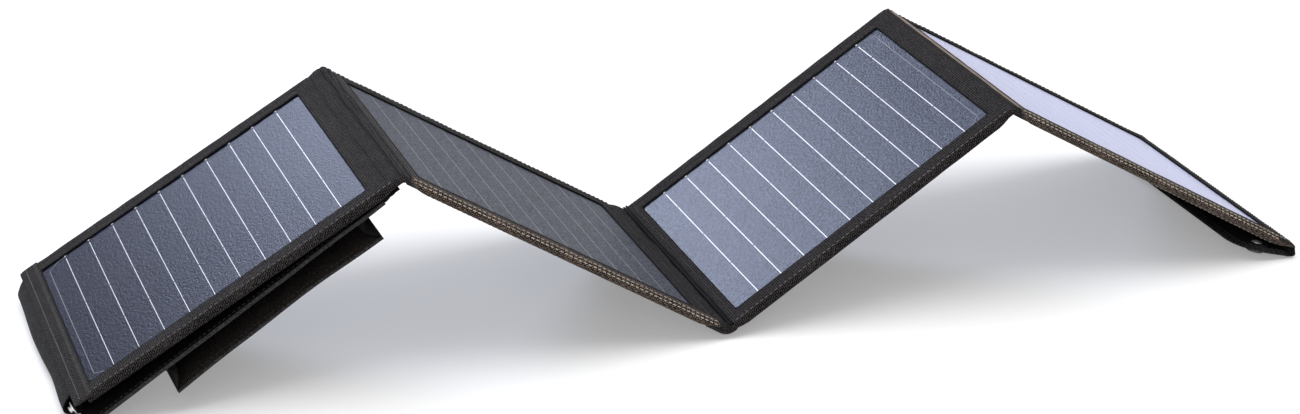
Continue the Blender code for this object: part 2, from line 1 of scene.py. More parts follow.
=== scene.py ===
"""Folding solar charger: visible pieces, finishes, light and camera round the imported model."""
import json
import math

import bpy
from mathutils import Matrix, Vector, noise


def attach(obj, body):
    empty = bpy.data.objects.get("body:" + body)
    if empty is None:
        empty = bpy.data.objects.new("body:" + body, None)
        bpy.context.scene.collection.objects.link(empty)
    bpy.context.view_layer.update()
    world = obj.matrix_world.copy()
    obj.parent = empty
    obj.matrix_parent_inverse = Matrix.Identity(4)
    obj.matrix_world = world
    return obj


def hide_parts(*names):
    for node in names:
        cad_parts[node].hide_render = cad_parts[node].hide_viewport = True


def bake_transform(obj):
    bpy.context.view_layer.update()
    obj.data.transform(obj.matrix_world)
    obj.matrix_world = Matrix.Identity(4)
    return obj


MM = 0.001
TURN = 2 * math.pi
ALONG_FOLDS = Vector((0, 1, 0))
DOUBLES = 1e-6          # points nearer than this, in metres, are merged

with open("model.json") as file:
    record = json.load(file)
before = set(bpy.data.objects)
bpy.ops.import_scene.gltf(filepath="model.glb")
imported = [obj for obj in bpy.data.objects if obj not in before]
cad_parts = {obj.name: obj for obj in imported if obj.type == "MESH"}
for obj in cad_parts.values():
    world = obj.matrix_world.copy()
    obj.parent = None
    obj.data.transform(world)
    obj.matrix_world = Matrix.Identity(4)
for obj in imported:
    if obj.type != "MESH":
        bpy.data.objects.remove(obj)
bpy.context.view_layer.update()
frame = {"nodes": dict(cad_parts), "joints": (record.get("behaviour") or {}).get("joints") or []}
bpy.ops.object.select_all(action="DESELECT")


# ---------------------------------------------------------------- frames of the flat parts

class Flat:
    """Frame of a flat part: u along the strip, v along the folds, w out of the face, in mm."""

    def __init__(self, origin, normal):
        self.w = Vector(normal).normalized()
        self.v = ALONG_FOLDS.copy()
        self.u = self.v.cross(self.w)
        self.origin = Vector(origin)

    def at(self, u, v, w):
        return self.origin + (self.u * u + self.v * v + self.w * w) * MM

    def local(self, point):
        away = (Vector(point) - self.origin) / MM
        return Vector((away.dot(self.u), away.dot(self.v), away.dot(self.w)))

    def extent(self, node):
        """Lowest and highest u, v, w of a CAD node, in mm."""
        found = [self.local(vert.co) for vert in frame["nodes"][node].data.vertices]
        low = [min(point[i] for point in found) for i in range(3)]
        high = [max(point[i] for point in found) for i in range(3)]
        return low, high


def broad_side(node):
    """Upward normal of a flat node's largest side."""
    sums = {}
    for face in frame["nodes"][node].data.polygons:
        if face.normal.z > 0.2:
            key = tuple(round(x, 2) for x in face.normal)
            area, normal = sums.get(key, (0.0, Vector()))
            sums[key] = (area + face.area, normal + face.normal * face.area)
    best = max(sums.values(), key=lambda item: item[0])[1]
    return Vector((best.x, 0, best.z)).normalized()


def joint_place(name):
    """Point on a joint's axis, in metres."""
    return Vector(next(j["pos_m"] for j in frame["joints"] if j["name"] == name))


# in mm, in a panel's own frame
LAMINATE_LAP = 2.0      # laminate under the cover's edge
LAMINATE_TOP = -0.8     # laminate face below the cover's face
WINDOW_L = 134.0        # window across the folds
HALF_W = 67.5           # half of the window along the folds
BACK = -4.0             # back face of a panel
COVER_V = 72.6          # long edge of the covers
EDGE_V = 79.0           # outer edge of the long hems


def panel_flat(number):
    """Frame of a panel: its origin in the cover's face, at the window's left edge."""
    node = f"solar_laminate_{number}"
    flat = Flat((0, 0, 0), broad_side(node))
    low, high = flat.extent(node)
    flat.origin = (flat.u * (low[0] + LAMINATE_LAP) + flat.w * (high[2] - LAMINATE_TOP)) * MM
    return flat


PANEL = {number: panel_flat(number) for number in (1, 2, 3, 4)}
POCKET = Flat(joint_place("pocket_open"), broad_side("pocket_panel"))
FLAP = Flat(joint_place("flap_fold"), -broad_side("closing_flap"))


# ---------------------------------------------------------------- making of meshes

def between(low, high, share):
    """Value at a share of the way from low to high."""
    return low + (high - low) * share


def wobble(point, size, amount):
    """Smooth uneven offset, the same at each run."""
    return noise.noise(Vector(point) / size) * amount


def deselect():
    bpy.ops.object.select_all(action="DESELECT")


def choose(obj):
    """Make a piece the only selected one."""
    deselect()
    bpy.context.view_layer.objects.active = obj
    obj.select_set(True)


def finished(obj, material, body=None, stands_for=()):
    """Give a piece its material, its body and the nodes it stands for."""
    obj.data.materials.clear()
    obj.data.materials.append(material)
    if body:
        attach(obj, body)
    if stands_for:
        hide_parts(*stands_for)
    deselect()


def smooth(obj, degrees):
    """Shade a piece smooth, up to an angle between its faces."""
    choose(obj)
    bpy.ops.object.shade_smooth_by_angle(angle=math.radians(degrees))
    deselect()


def mesh_piece(name, verts, faces, uvs=None):
    """Mesh object from points in metres; uvs are one (u, v) in mm for each point."""
    data = bpy.data.meshes.new(name)
    data.from_pydata([tuple(v) for v in verts], [], faces)
    if uvs:
        layer = data.uv_layers.new(name="cloth")
        for loop in data.loops:
            layer.data[loop.index].uv = uvs[loop.vertex_index]
    data.validate()
    data.update()
    obj = bpy.data.objects.new(name, data)
    bpy.context.scene.collection.objects.link(obj)
    return obj


def outward(obj, merge=False):
    """Make the faces point outwards, after merging double points where asked."""
    choose(obj)
    bpy.ops.object.mode_set(mode="EDIT")
    bpy.ops.mesh.select_all(action="SELECT")
    if merge:
        bpy.ops.mesh.remove_doubles(threshold=DOUBLES)
    bpy.ops.mesh.normals_make_consistent(inside=False)
    bpy.ops.object.mode_set(mode="OBJECT")
    deselect()


def sweep(name, sections, uvs, capped=True):
    """Closed tube of equal sections, each a closed loop of points."""
    count = len(sections[0])
    verts = [point for section in sections for point in section]
    coords = [pair for row in uvs for pair in row]
    faces = []
    for i in range(len(sections) - 1):
        for j in range(count):
            k = (j + 1) % count
            faces.append((i * count + j, i * count + k, (i + 1) * count + k,
                          (i + 1) * count + j))
    if capped:
        faces.append(tuple(range(count)))
        faces.append(tuple(reversed(range((len(sections) - 1) * count, len(verts)))))
    obj = mesh_piece(name, verts, faces, coords)
    outward(obj)
    smooth(obj, 50)
    return obj


def cloth(name, nu, nv, place, coord, thickness, offset=-1.0):
    """Sheet on a grid, its thickness in mm.

    place(s, t) gives a point in metres and coord(s, t) its mm on the cloth.
    """
    bpy.ops.mesh.primitive_grid_add(x_subdivisions=nu, y_subdivisions=nv, size=2)
    obj = bpy.context.active_object
    obj.name = obj.data.name = name
    layer = obj.data.uv_layers.active
    layer.name = "cloth"
    share = [((vert.co.x + 1) / 2, (vert.co.y + 1) / 2) for vert in obj.data.vertices]
    for loop in obj.data.loops:
        layer.data[loop.index].uv = coord(*share[loop.vertex_index])
    for vert, (s, t) in zip(obj.data.vertices, share):
        vert.co = place(s, t)
    obj.data.update()
    solid = obj.modifiers.new("thickness", "SOLIDIFY")
    solid.thickness = thickness * MM
    solid.offset = offset
    solid.use_even_offset = True
    choose(obj)
    bpy.ops.object.modifier_apply(modifier=solid.name)
    smooth(obj, 50)
    outward(obj)
    return obj


def round_tube(name, points, radius, sides=8):
    """Round cord along points in metres, radius in mm, closed at both ends."""
    sections, coords = [], []
    length = 0.0
    for i, point in enumerate(points):
        ahead = points[min(i + 1, len(points) - 1)] - points[max(i - 1, 0)]
        tangent = ahead.normalized()
        side = tangent.cross(Vector((0, 0, 1)))
        if side.length < 0.1:
            side = tangent.cross(Vector((1, 0, 0)))
        side.normalize()
        rise = side.cross(tangent)
        if i:
            length += (point - points[i - 1]).length / MM
        ring = []
        for j in range(sides):
            angle = TURN * j / sides
            spoke = side * math.cos(angle) + rise * math.sin(angle)
            ring.append(point + spoke * radius * MM)
        sections.append(ring)
        coords.append([(length, j * radius * 0.8) for j in range(sides)])
    return sweep(name, sections, coords)


# along a stitch from end to end, and how thick it is there
STITCH_RINGS = ((-0.5, 0.25), (-0.28, 0.9), (0.28, 0.9), (0.5, 0.25))
STITCH_SIDES = 5
STITCH_RISE = 0.12      # of a stitch's middle above the cloth, in mm


def sewn(name, placed, length, radius, thread, body):
    """One thread stitch at each (middle, direction, up) in metres, joined in one piece."""
    verts, faces = [], []
    for middle, direction, up in placed:
        along = direction.normalized()
        side = along.cross(up).normalized()
        rise = side.cross(along)
        base = len(verts)
        for station, share in STITCH_RINGS:
            for j in range(STITCH_SIDES):
                angle = TURN * j / STITCH_SIDES
                flat = side * math.cos(angle) + rise * math.sin(angle) * 0.7
                verts.append(middle + along * station * length * MM
                             + flat * share * radius * MM)
        for i in range(len(STITCH_RINGS) - 1):
            for j in range(STITCH_SIDES):
                k = (j + 1) % STITCH_SIDES
                a, b = base + i * STITCH_SIDES, base + (i + 1) * STITCH_SIDES
                faces.append((a + j, a + k, b + k, b + j))
        last = base + (len(STITCH_RINGS) - 1) * STITCH_SIDES
        faces.append(tuple(reversed(range(base, base + STITCH_SIDES))))
        faces.append(tuple(range(last, last + STITCH_SIDES)))
    obj = mesh_piece(name, verts, faces)
    outward(obj)
    smooth(obj, 60)
    finished(obj, thread, body)


def row_of_stitches(flat, start, end, w, pitch, cross=False, wander=0.12):
    """Places of a straight row of stitches on a flat part, from (u, v) to (u, v) in mm."""
    start, end = Vector(start), Vector(end)
    run = end - start
    count = max(2, int(run.length / pitch))
    step = run / count
    along = (flat.u * run.x + flat.v * run.y).normalized()
    across = along.cross(flat.w)
    found = []
    for i in range(count):
        middle = start + step * (i + 0.5)
        point = flat.at(middle.x, middle.y, w)
        drift = wobble((middle.x, middle.y, w + 3), 4.0, wander * MM)
        direction = across if cross else along + across * wobble((i, 3, 5), 1.3, 0.25)
        found.append((point + across * drift, direction, flat.w))
    return found


# ---------------------------------------------------------------- finishes

def shader(name):
    """New material with its node tree and its surface node."""
    material = bpy.data.materials.new(name)
    material.use_nodes = True
    tree = material.node_tree
    return material, tree, tree.nodes["Principled BSDF"]


def fill(made, values):
    """Set a node's sockets by name."""
    for key, value in values.items():
        made.inputs[key].default_value = value


def node(tree, kind, **values):
    """New node; each value goes to the socket or the setting of that name."""
    made = tree.nodes.new(kind)
    for key, value in values.items():
        if key in made.inputs:
            made.inputs[key].default_value = value
        else:
            setattr(made, key, value)
    return made


def noise_node(tree, source, scale, detail, rough):
    """Noise of a pattern's coordinates; returns its even factor."""
    made = node(tree, "ShaderNodeTexNoise", Scale=scale, Detail=detail, Roughness=rough)
    tree.links.new(source, made.inputs["Vector"])
    return made.outputs["Fac"]


def add_scaled(tree, first, amount, second):
    """first * amount + second"""
    made = node(tree, "ShaderNodeMath", operation="MULTIPLY_ADD")
    tree.links.new(first, made.inputs[0])
    made.inputs[1].default_value = amount
    tree.links.new(second, made.inputs[2])
    return made.outputs[0]


def toned(tree, bsdf, factor, dark, light, low=0.0, high=1.0):
    """Colour the surface between two tones by a factor."""
    made = node(tree, "ShaderNodeValToRGB")
    first, last = made.color_ramp.elements
    first.position, last.position = low, high
    first.color, last.color = (*dark, 1), (*light, 1)
    tree.links.new(factor, made.inputs["Fac"])
    tree.links.new(made.outputs["Color"], bsdf.inputs["Base Color"])


def raised(tree, bsdf, height, strength, depth):
    """Give the surface a relief, its depth in metres."""
    made = node(tree, "ShaderNodeBump", Strength=strength, Distance=depth)
    tree.links.new(height, made.inputs["Height"])
    tree.links.new(made.outputs["Normal"], bsdf.inputs["Normal"])


def woven(name, dark, light, thread=0.9, sheen=0.25, relief=0.35):
    """Coarse polyester twill: diagonal ribs crossed by the weft, with uneven yarn colour."""
    material, tree, bsdf = shader(name)
    source = node(tree, "ShaderNodeUVMap", uv_map="cloth").outputs["UV"]
    twill = node(tree, "ShaderNodeTexWave", wave_type="BANDS", bands_direction="DIAGONAL",
                 Scale=0.628 / thread / 1.4, Distortion=1.2, Detail=2.0)
    twill.inputs["Detail Scale"].default_value = 2.0
    weft = node(tree, "ShaderNodeTexWave", wave_type="BANDS", bands_direction="X",
                Scale=0.314 / thread, Distortion=0.8, Detail=1.0)
    ribs = node(tree, "ShaderNodeMath", operation="MULTIPLY")
    for texture, factor in zip((twill, weft), ribs.inputs):
        tree.links.new(source, texture.inputs["Vector"])
        tree.links.new(texture.outputs["Fac"], factor)
    yarn = noise_node(tree, source, 0.85, 3.0, 0.7)
    wear = noise_node(tree, source, 0.09, 3.0, 0.55)
    mixed = add_scaled(tree, yarn, 2.4, ribs.outputs[0])
    shade = add_scaled(tree, wear, 0.5, mixed)
    spread = node(tree, "ShaderNodeMapRange", interpolation_type="SMOOTHSTEP")
    fill(spread, {"From Min": 1.52, "From Max": 2.12})
    tree.links.new(shade, spread.inputs["Value"])
    toned(tree, bsdf, spread.outputs["Result"], dark, light)
    raised(tree, bsdf, mixed, relief, 0.0005)
    fill(bsdf, {"Roughness": 0.85, "Specular IOR Level": 0.1, "Sheen Weight": sheen,
                "Sheen Roughness": 0.45, "Sheen Tint": (0.6, 0.58, 0.56, 1)})
    return material


def speckled(name, dark, light, rough, coat, spec, relief=0.6, grain=1050.0, sheen=0.0,
             sheen_tint=(1, 1, 1, 1)):
    """Textured clear film over blue-black cells."""
    material, tree, bsdf = shader(name)
    source = node(tree, "ShaderNodeTexCoord").outputs["Object"]
    fine = noise_node(tree, source, grain, 2.0, 0.7)
    broad = noise_node(tree, source, 60.0, 3.0, 0.5)
    toned(tree, bsdf, add_scaled(tree, broad, 0.08, fine), dark, light, 0.42, 0.68)
    raised(tree, bsdf, fine, relief, 0.0003)
    fill(bsdf, {"Roughness": rough, "Specular IOR Level": spec, "Coat Weight": coat,
                "Coat Roughness": 0.32, "Sheen Weight": sheen, "Sheen Roughness": 0.3,
                "Sheen Tint": sheen_tint})
    return material


def moulded(name, colour, rough=0.5, relief=0.08, metal=0.0, vary=0.25, spec=0.5):
    """Even material with a fine grain: plastic, board, lacquer or plated metal."""
    material, tree, bsdf = shader(name)
    source = node(tree, "ShaderNodeTexCoord").outputs["Object"]
    fine = noise_node(tree, source, 1500.0, 3.0, 0.6)
    broad = noise_node(tree, source, 125.0, 2.0, 0.5)
    dark = [c * (1 - vary) for c in colour]
    light = [min(1, c * (1 + vary)) for c in colour]
    toned(tree, bsdf, broad, dark, light, 0.3, 0.75)
    raised(tree, bsdf, fine, relief, 0.0002)
    fill(bsdf, {"Roughness": rough, "Metallic": metal, "Specular IOR Level": spec})
    return material


CHARCOAL = woven("charcoal_twill", (0.0015, 0.0013, 0.0015), (0.060, 0.052, 0.052),
                 sheen=0.03, relief=0.7)
# Darker copy of the cloth for the pocket's back, painted shade under panel 1.
SHADE_CLOTH = woven("pocket_cloth_painted_shade", (0.001, 0.001, 0.001), (0.012, 0.011, 0.010), sheen=0.0)
GUSSET_CLOTH = woven("soft_gusset_cloth", (0.002, 0.002, 0.002), (0.040, 0.038, 0.039),
                     thread=0.6, sheen=0.03, relief=0.15)
# Lighter brown copies of the charcoal cloth, painted sheen: the hems of panels 2 and 4 catching
# light at a grazing angle.
NEAR_HEM_SHEEN_CLOTH = woven("near_hem_cloth_painted_sheen", (0.008, 0.006, 0.005), (0.20, 0.150, 0.122),
                    sheen=0.05, relief=0.7)
FAR_HEM_SHEEN_CLOTH = woven("far_hem_cloth_painted_sheen", (0.002, 0.0017, 0.0015), (0.085, 0.070, 0.060),
                   sheen=0.03, relief=0.7)
# Lighter brown copy of the cloth for the pouch, painted sheen on its inner bottom seen through
# the mouth.
POUCH_SHEEN_CLOTH = woven("pouch_material_painted_sheen", (0.003, 0.0025, 0.0025), (0.075, 0.062, 0.055),
                    thread=0.8, sheen=0.04, relief=0.6)
# One solar film, toned per panel as painted light: panel 1 darkened as painted shade, panels 2
# and 3 lightened, and panel 4 made pale with a lavender sheen as a painted reflection of the
# bright floor at a grazing angle.
CELLS = {
    1: speckled("cells_slate_painted_shade", (0.0005, 0.0006, 0.002), (0.0065, 0.009, 0.034),
                0.42, 0.05, 0.05, 1.0, 850.0),
    2: speckled("cells_grey_painted_light", (0.025, 0.028, 0.038), (0.120, 0.127, 0.158), 0.55, 0.0, 0.15,
                0.8, 850.0),
    3: speckled("cells_blue_painted_light", (0.002, 0.003, 0.008), (0.048, 0.058, 0.100), 0.42, 0.07, 0.11,
                1.0, 850.0),
    4: speckled("cells_pale_painted_reflection", (0.03, 0.033, 0.06), (0.12, 0.13, 0.18), 0.4, 0.5, 0.5,
                sheen=0.8, sheen_tint=(0.78, 0.78, 0.98, 1)),
}
WHITE_LINE = moulded("white_backing", (0.80, 0.81, 0.86), 0.45, relief=0.02, vary=0.05)
# Dimmed copies of the white backing, painted light: grey on panel 2 as painted shade, pale on
# panel 4 toned to its painted reflection.
GREY_LINE_PAINTED_SHADE = moulded("backing_painted_shade_grey", (0.24, 0.25, 0.27), 0.45, relief=0.02, vary=0.05)
PALE_LINE_PAINTED_LIGHT = moulded("backing_painted_light_pale", (0.50, 0.52, 0.60), 0.45, relief=0.02, vary=0.05)
DARK_LINE = moulded("cell_edge", (0.115, 0.125, 0.145), 0.5, relief=0.02, vary=0.05)
# black cloth for the valley's cord; in each window's edge the same black cord is painted shade
# for the shadow gap
BLACK_CORD_AND_SHADOW_LINE = moulded("black_cord_and_shadow_line", (0.003, 0.003, 0.0035), 0.8, relief=0.1, spec=0.1)
THREAD_DARK = moulded("dark_thread", (0.060, 0.056, 0.053), 0.8, relief=0.2, spec=0.2)
THREAD_PALE = moulded("pale_thread", (0.42, 0.38, 0.33), 0.8, relief=0.2)
THREAD_GREY = moulded("grey_thread", (0.13, 0.125, 0.12), 0.8, relief=0.2, spec=0.2)
TAN_CORD = moulded("tan_piping", (0.21, 0.165, 0.135), 0.75, relief=0.2, spec=0.2)
PIPING = woven("grey_piping", (0.008, 0.008, 0.008), (0.075, 0.072, 0.07),
               thread=0.7, sheen=0.05)
PLASTIC = moulded("black_moulding", (0.018, 0.018, 0.020), 0.55, relief=0.12)
BOARD = moulded("grey_board", (0.11, 0.10, 0.09), 0.9, relief=0.1)
COPPER = moulded("tinned_ribbon", (0.55, 0.36, 0.24), 0.35, metal=1.0, relief=0.05,
                 vary=0.08)
CIRCUIT = moulded("green_mask", (0.02, 0.11, 0.05), 0.4, relief=0.05)
STEEL = moulded("plated_steel", (0.52, 0.52, 0.53), 0.28, metal=1.0, relief=0.03, vary=0.06)
# Plated nickel, partly painted highlight: its base is lightened and given a diffuse share so the
# snaps show bright in the dark under the flap.
NICKEL = moulded("nickel_snap_painted_highlight", (0.90, 0.89, 0.88), 0.35, metal=0.7, relief=0.02, vary=0.05)
DARK_NICKEL = moulded("dark_nickel", (0.10, 0.10, 0.105), 0.4, metal=0.8, relief=0.02)
LENS = moulded("green_lens", (0.05, 0.45, 0.14), 0.15, relief=0.0, vary=0.05)

# the near hems of panels 2 and 4, and panel 2's far hem, take the painted-sheen copies of the
# charcoal cloth
NEAR_CLOTH = {1: CHARCOAL, 2: NEAR_HEM_SHEEN_CLOTH, 3: CHARCOAL, 4: NEAR_HEM_SHEEN_CLOTH}
NEAR_THREAD = {1: THREAD_GREY, 2: THREAD_PALE, 3: THREAD_GREY, 4: THREAD_PALE}
FAR_CLOTH = {1: CHARCOAL, 2: FAR_HEM_SHEEN_CLOTH, 3: CHARCOAL, 4: CHARCOAL}
FAR_THREAD = dict.fromkeys((1, 2, 3, 4), THREAD_DARK)
# panels 2 and 4 take the dimmed copies of the white backing, painted to their light
LINE_COLOUR = {1: WHITE_LINE, 2: GREY_LINE_PAINTED_SHADE, 3: WHITE_LINE, 4: PALE_LINE_PAINTED_LIGHT}


# ---------------------------------------------------------------- panels

HEM_WIDTH = 6.9
END_BAND_WIDTH = 9.0
# distance in from the outer edge and height, over the top and back underneath
HEM_TOP = ((6.9, -0.05), (6.5, 0.10), (5.2, 0.14), (3.8, 0.14), (3.0, 0.10), (2.6, -0.02),
           (2.2, 0.02), (1.5, -0.20), (0.9, -0.62), (0.35, -1.20), (0.08, -1.70))
HEM_UNDER = ((0.0, -2.10), (0.08, -2.5), (0.4, -3.0), (1.0, -3.5), (1.8, -3.85), (2.3, -3.85),
             (2.9, -4.08), (4.7, -4.12), (5.2, -4.0), (5.7, -4.1), (6.9, -4.05), (6.9, -3.5))


def hem_soft(run, across, fixed, side):
    """Unevenness of a hem's cloth at a place along it and across it."""
    return wobble((run, side * 7 + across * 0.3, fixed), 9.0, 0.16)


def hem_edge(run, across, fixed):
    """How far a hem's outer edge wanders, fading inwards."""
    return wobble((run, fixed, 2.0), 16.0, 0.35) * max(0.0, 1 - across / 4)


def hem_height(across):
    """Height of a hem's upper face at a distance from its outer edge."""
    for (a, wa), (b, wb) in zip(HEM_TOP, HEM_TOP[1:]):
        if b <= across <= a:
            return wb + (wa - wb) * (across - b) / (a - b)
    return HEM_TOP[-1][1]


def hem_piece(name, flat, fixed, start, end, side, across_v, material, body, stands_for,
              lift=0.0, width=HEM_WIDTH, thin=(False, False), bulk=1.0):
    """Rolled and stitched hem; it runs along u at v = fixed, or along v at u = fixed."""
    profile = ((HEM_WIDTH, -0.55),) + HEM_TOP + HEM_UNDER
    stations = 56
    sections, coords = [], []
    for i in range(stations + 1):
        run = start + (end - start) * i / stations
        keep = bulk
        for flag, gap in zip(thin, (run - start, end - run)):
            if flag:
                keep *= 0.5 + 0.5 * min(1.0, gap / 7.0)
        ring, row = [], []
        length = 0.0
        last = None
        for across, w in profile:
            across = across * width / HEM_WIDTH
            soft = hem_soft(run, across, fixed, side)
            up = w + (lift + soft if w > -1 else -lift * 0.3 + soft * 0.6)
            up = -0.2 + (up + 0.2) * keep
            away = fixed - side * (across + hem_edge(run, across, fixed))
            ring.append(flat.at(away, run, up) if across_v else flat.at(run, away, up))
            if last is not None:
                length += math.hypot(across - last[0], w - last[1])
            last = (across, w)
            row.append((run, length + fixed))
        sections.append(ring)
        coords.append(row)
    finished(sweep(name, sections, coords), material, body, stands_for)


def hem_stitches(flat, fixed, start, end, side, across, pitch, across_v=False, lift=0.0,
                 width=HEM_WIDTH):
    """Places of a row of stitches that follows a hem's surface."""
    count = int((end - start) / pitch)
    slope = (hem_height(across + 0.2) - hem_height(across - 0.2)) / 0.4
    found = []
    for i in range(count):
        run = start + (end - start) * (i + 0.5) / count
        shown = across * width / HEM_WIDTH
        w = hem_height(across) + lift + hem_soft(run, shown, fixed, side)
        away = fixed - side * (shown + hem_edge(run, shown, fixed)
                               + wobble((i * 1.7, across, fixed), 2.0, 0.1))
        tilt = wobble((i, 3, across), 1.3, 0.15)
        if across_v:
            place, along = flat.at(away, run, w), flat.v + flat.u * tilt
            up = flat.w + flat.u * side * slope
        else:
            place, along = flat.at(run, away, w), flat.u + flat.v * tilt
            up = flat.w + flat.v * side * slope
        found.append((place + up.normalized() * STITCH_RISE * MM, along, up))
    return found


WINDOW_LIP = ((0.0, -0.72), (0.0, -0.25), (0.05, -0.02), (0.14, 0.10), (0.28, 0.08),
              (0.42, 0.0), (0.7, 0.06), (1.0, 0.0), (1.0, -0.5), (0.3, -0.72))


def window_border(number, left, right):
    """Front cover round the window, with a small rolled lip at the window's edge."""
    flat = PANEL[number]
    inner = ((0, -HALF_W), (WINDOW_L, -HALF_W), (WINDOW_L, HALF_W), (0, HALF_W))
    outer = ((left, -COVER_V), (right, -COVER_V), (right, COVER_V), (left, COVER_V))
    sections, coords = [], []
    parts = 20
    for side in range(4):
        for i in range(parts):
            a = Vector(inner[side]).lerp(Vector(inner[(side + 1) % 4]), i / parts)
            b = Vector(outer[side]).lerp(Vector(outer[(side + 1) % 4]), i / parts)
            ring, row = [], []
            for across, w in WINDOW_LIP:
                point = a.lerp(b, across)
                soft = wobble((point.x, point.y, number * 9), 12.0, 0.12) if w > -0.4 else 0
                ring.append(flat.at(point.x, point.y, w + soft))
                row.append((point.x, point.y + w))
            sections.append(ring)
            coords.append(row)
    sections.append(list(sections[0]))
    coords.append(list(coords[0]))
    piece = sweep(f"window_border_{number}", sections, coords, capped=False)
    outward(piece, merge=True)
    finished(piece, CHARCOAL, f"panel_{number}", [f"front_cover_{number}"])


def back_sheet(number, left, right):
    """Back cover, softly filled out between its hems."""
    flat = PANEL[number]

    def place(s, t):
        u = between(left, right, s)
        v = -COVER_V + 2 * COVER_V * t
        puff = 0.35 * math.sin(math.pi * s) * math.sin(math.pi * t)
        soft = wobble((u, v, number * 5), 26.0, 0.45) + wobble((u, v, number), 9.0, 0.12)
        return flat.at(u, v, BACK + 0.34 - puff * 0.3 + 0.5 * soft * min(1, 4 * s, 4 - 4 * s))

    def coord(s, t):
        return between(left, right, s), 2 * COVER_V * t

    piece = cloth(f"back_cloth_{number}", 36, 36, place, coord, 0.5)
    finished(piece, CHARCOAL, f"panel_{number}", [f"back_cover_{number}"])


CELL_LINES = 10
LINE_WIDTH = {1: 0.23, 2: 0.34, 3: 0.34, 4: 0.30}      # in mm
LINE_SINK, LINE_RISE = 0.05, 0.035      # a line's foot and top from the film's face
# shares of the window's width: the runs of a line, its bridges and its end dot
LINE_RUNS = ((0.0, 0.274), (0.284, 0.556), (0.566, 0.836), (0.846, 0.972))
BRIDGES = (0.279, 0.561, 0.841)
END_DOT = 0.992
OUTLINE_EDGE = {1: 3.4, 3: WINDOW_L - 3.6}      # panels whose cell edge shows as a dark line
BLOCK_FACES = ((3, 2, 1, 0), (4, 5, 6, 7), (0, 1, 5, 4), (1, 2, 6, 5), (2, 3, 7, 6),
               (3, 0, 4, 7))


def add_block(verts, faces, flat, corners, low, high):
    """Add a small block, from four corners in u and v and two heights, to a mesh under way."""
    base = len(verts)
    verts += [flat.at(u, v, w) for w in (low, high) for u, v in corners]
    faces += [tuple(base + i for i in face) for face in BLOCK_FACES]


def add_box(verts, faces, flat, u, v, half_u, half_v, low, high):
    """Block round a place on a flat part, from one height to another."""
    corners = ((u - half_u, v - half_v), (u + half_u, v - half_v),
               (u + half_u, v + half_v), (u - half_u, v + half_v))
    add_block(verts, faces, flat, corners, low, high)


def add_strip(verts, faces, flat, start, end, width, low, high):
    """Thin block from one place to another."""
    side = (end - start).normalized().orthogonal() * width / 2
    add_block(verts, faces, flat, (start - side, end - side, end + side, start + side),
              low, high)


def solar_face(number):
    """Laminated film, its cell gaps and their solder bridges."""
    flat = PANEL[number]
    body = f"panel_{number}"
    low, high = flat.extent(f"solar_laminate_{number}")

    def height(u, v):
        s = (u - low[0]) / (high[0] - low[0])
        t = (v - low[1]) / (high[1] - low[1])
        bow = 0.25 * math.sin(math.pi * s) * math.sin(math.pi * t)
        return LAMINATE_TOP + bow + wobble((u, v, number), 55.0, 0.10)

    def place(s, t):
        u = between(low[0], high[0], s)
        v = between(low[1], high[1], t)
        return flat.at(u, v, height(u, v))

    def coord(s, t):
        return s * WINDOW_L, t * 2 * HALF_W

    def across(share):
        return -HALF_W + 2 * HALF_W * share

    film = cloth(f"solar_film_{number}", 28, 28, place, coord, 0.7)
    finished(film, CELLS[number], body, [f"solar_laminate_{number}"])

    verts, faces = [], []
    width = LINE_WIDTH[number]
    steps = 6
    for k in range(1, CELL_LINES + 1):
        u = WINDOW_L * k / (CELL_LINES + 1)
        for start, end in LINE_RUNS:
            for i in range(steps):
                a = across(start + (end - start) * i / steps)
                b = across(start + (end - start) * (i + 1) / steps)
                top = height(u, (a + b) / 2)
                add_box(verts, faces, flat, u, (a + b) / 2, width / 2, (b - a) / 2,
                        top - LINE_SINK, top + LINE_RISE)
        dot = across(END_DOT)
        top = height(u, dot)
        add_box(verts, faces, flat, u, dot, 0.45, 0.45, top - LINE_SINK, top + LINE_RISE)
        for share in BRIDGES:
            for v in (across(share) - 1.1, across(share) + 1.1):
                top = height(u, v)
                add_box(verts, faces, flat, u, v, width * 0.75, 0.3,
                        top - LINE_SINK, top + 0.045)
    lines = mesh_piece(f"cell_gaps_{number}", verts, faces)
    outward(lines)
    finished(lines, LINE_COLOUR[number], body)
    if number in OUTLINE_EDGE:
        cell_outline(number, height)


def cell_outline(number, height):
    """Thin dark outline of the outermost cell, with its cut corners."""
    edge = OUTLINE_EDGE[number]
    turn = 1 if number == 1 else -1
    corner = 4.6
    near, far = -HALF_W + 1.3, HALF_W - 1.6
    points = [(edge + turn * 22, near), (edge + turn * corner, near), (edge, near + corner),
              (edge, far - corner), (edge + turn * corner, far), (edge + turn * 9, far)]
    points = [Vector(point) for point in points]
    verts, faces = [], []
    for a, b in zip(points, points[1:]):
        parts = max(1, int((b - a).length / 12))
        for i in range(parts):
            c, d = a.lerp(b, i / parts), a.lerp(b, (i + 1) / parts)
            top = height((c.x + d.x) / 2, (c.y + d.y) / 2)
            add_strip(verts, faces, PANEL[number], c, d, 0.3, top - LINE_SINK, top + 0.03)
    outline = mesh_piece(f"cell_outline_{number}", verts, faces)
    outward(outline)
    finished(outline, DARK_LINE, f"panel_{number}")


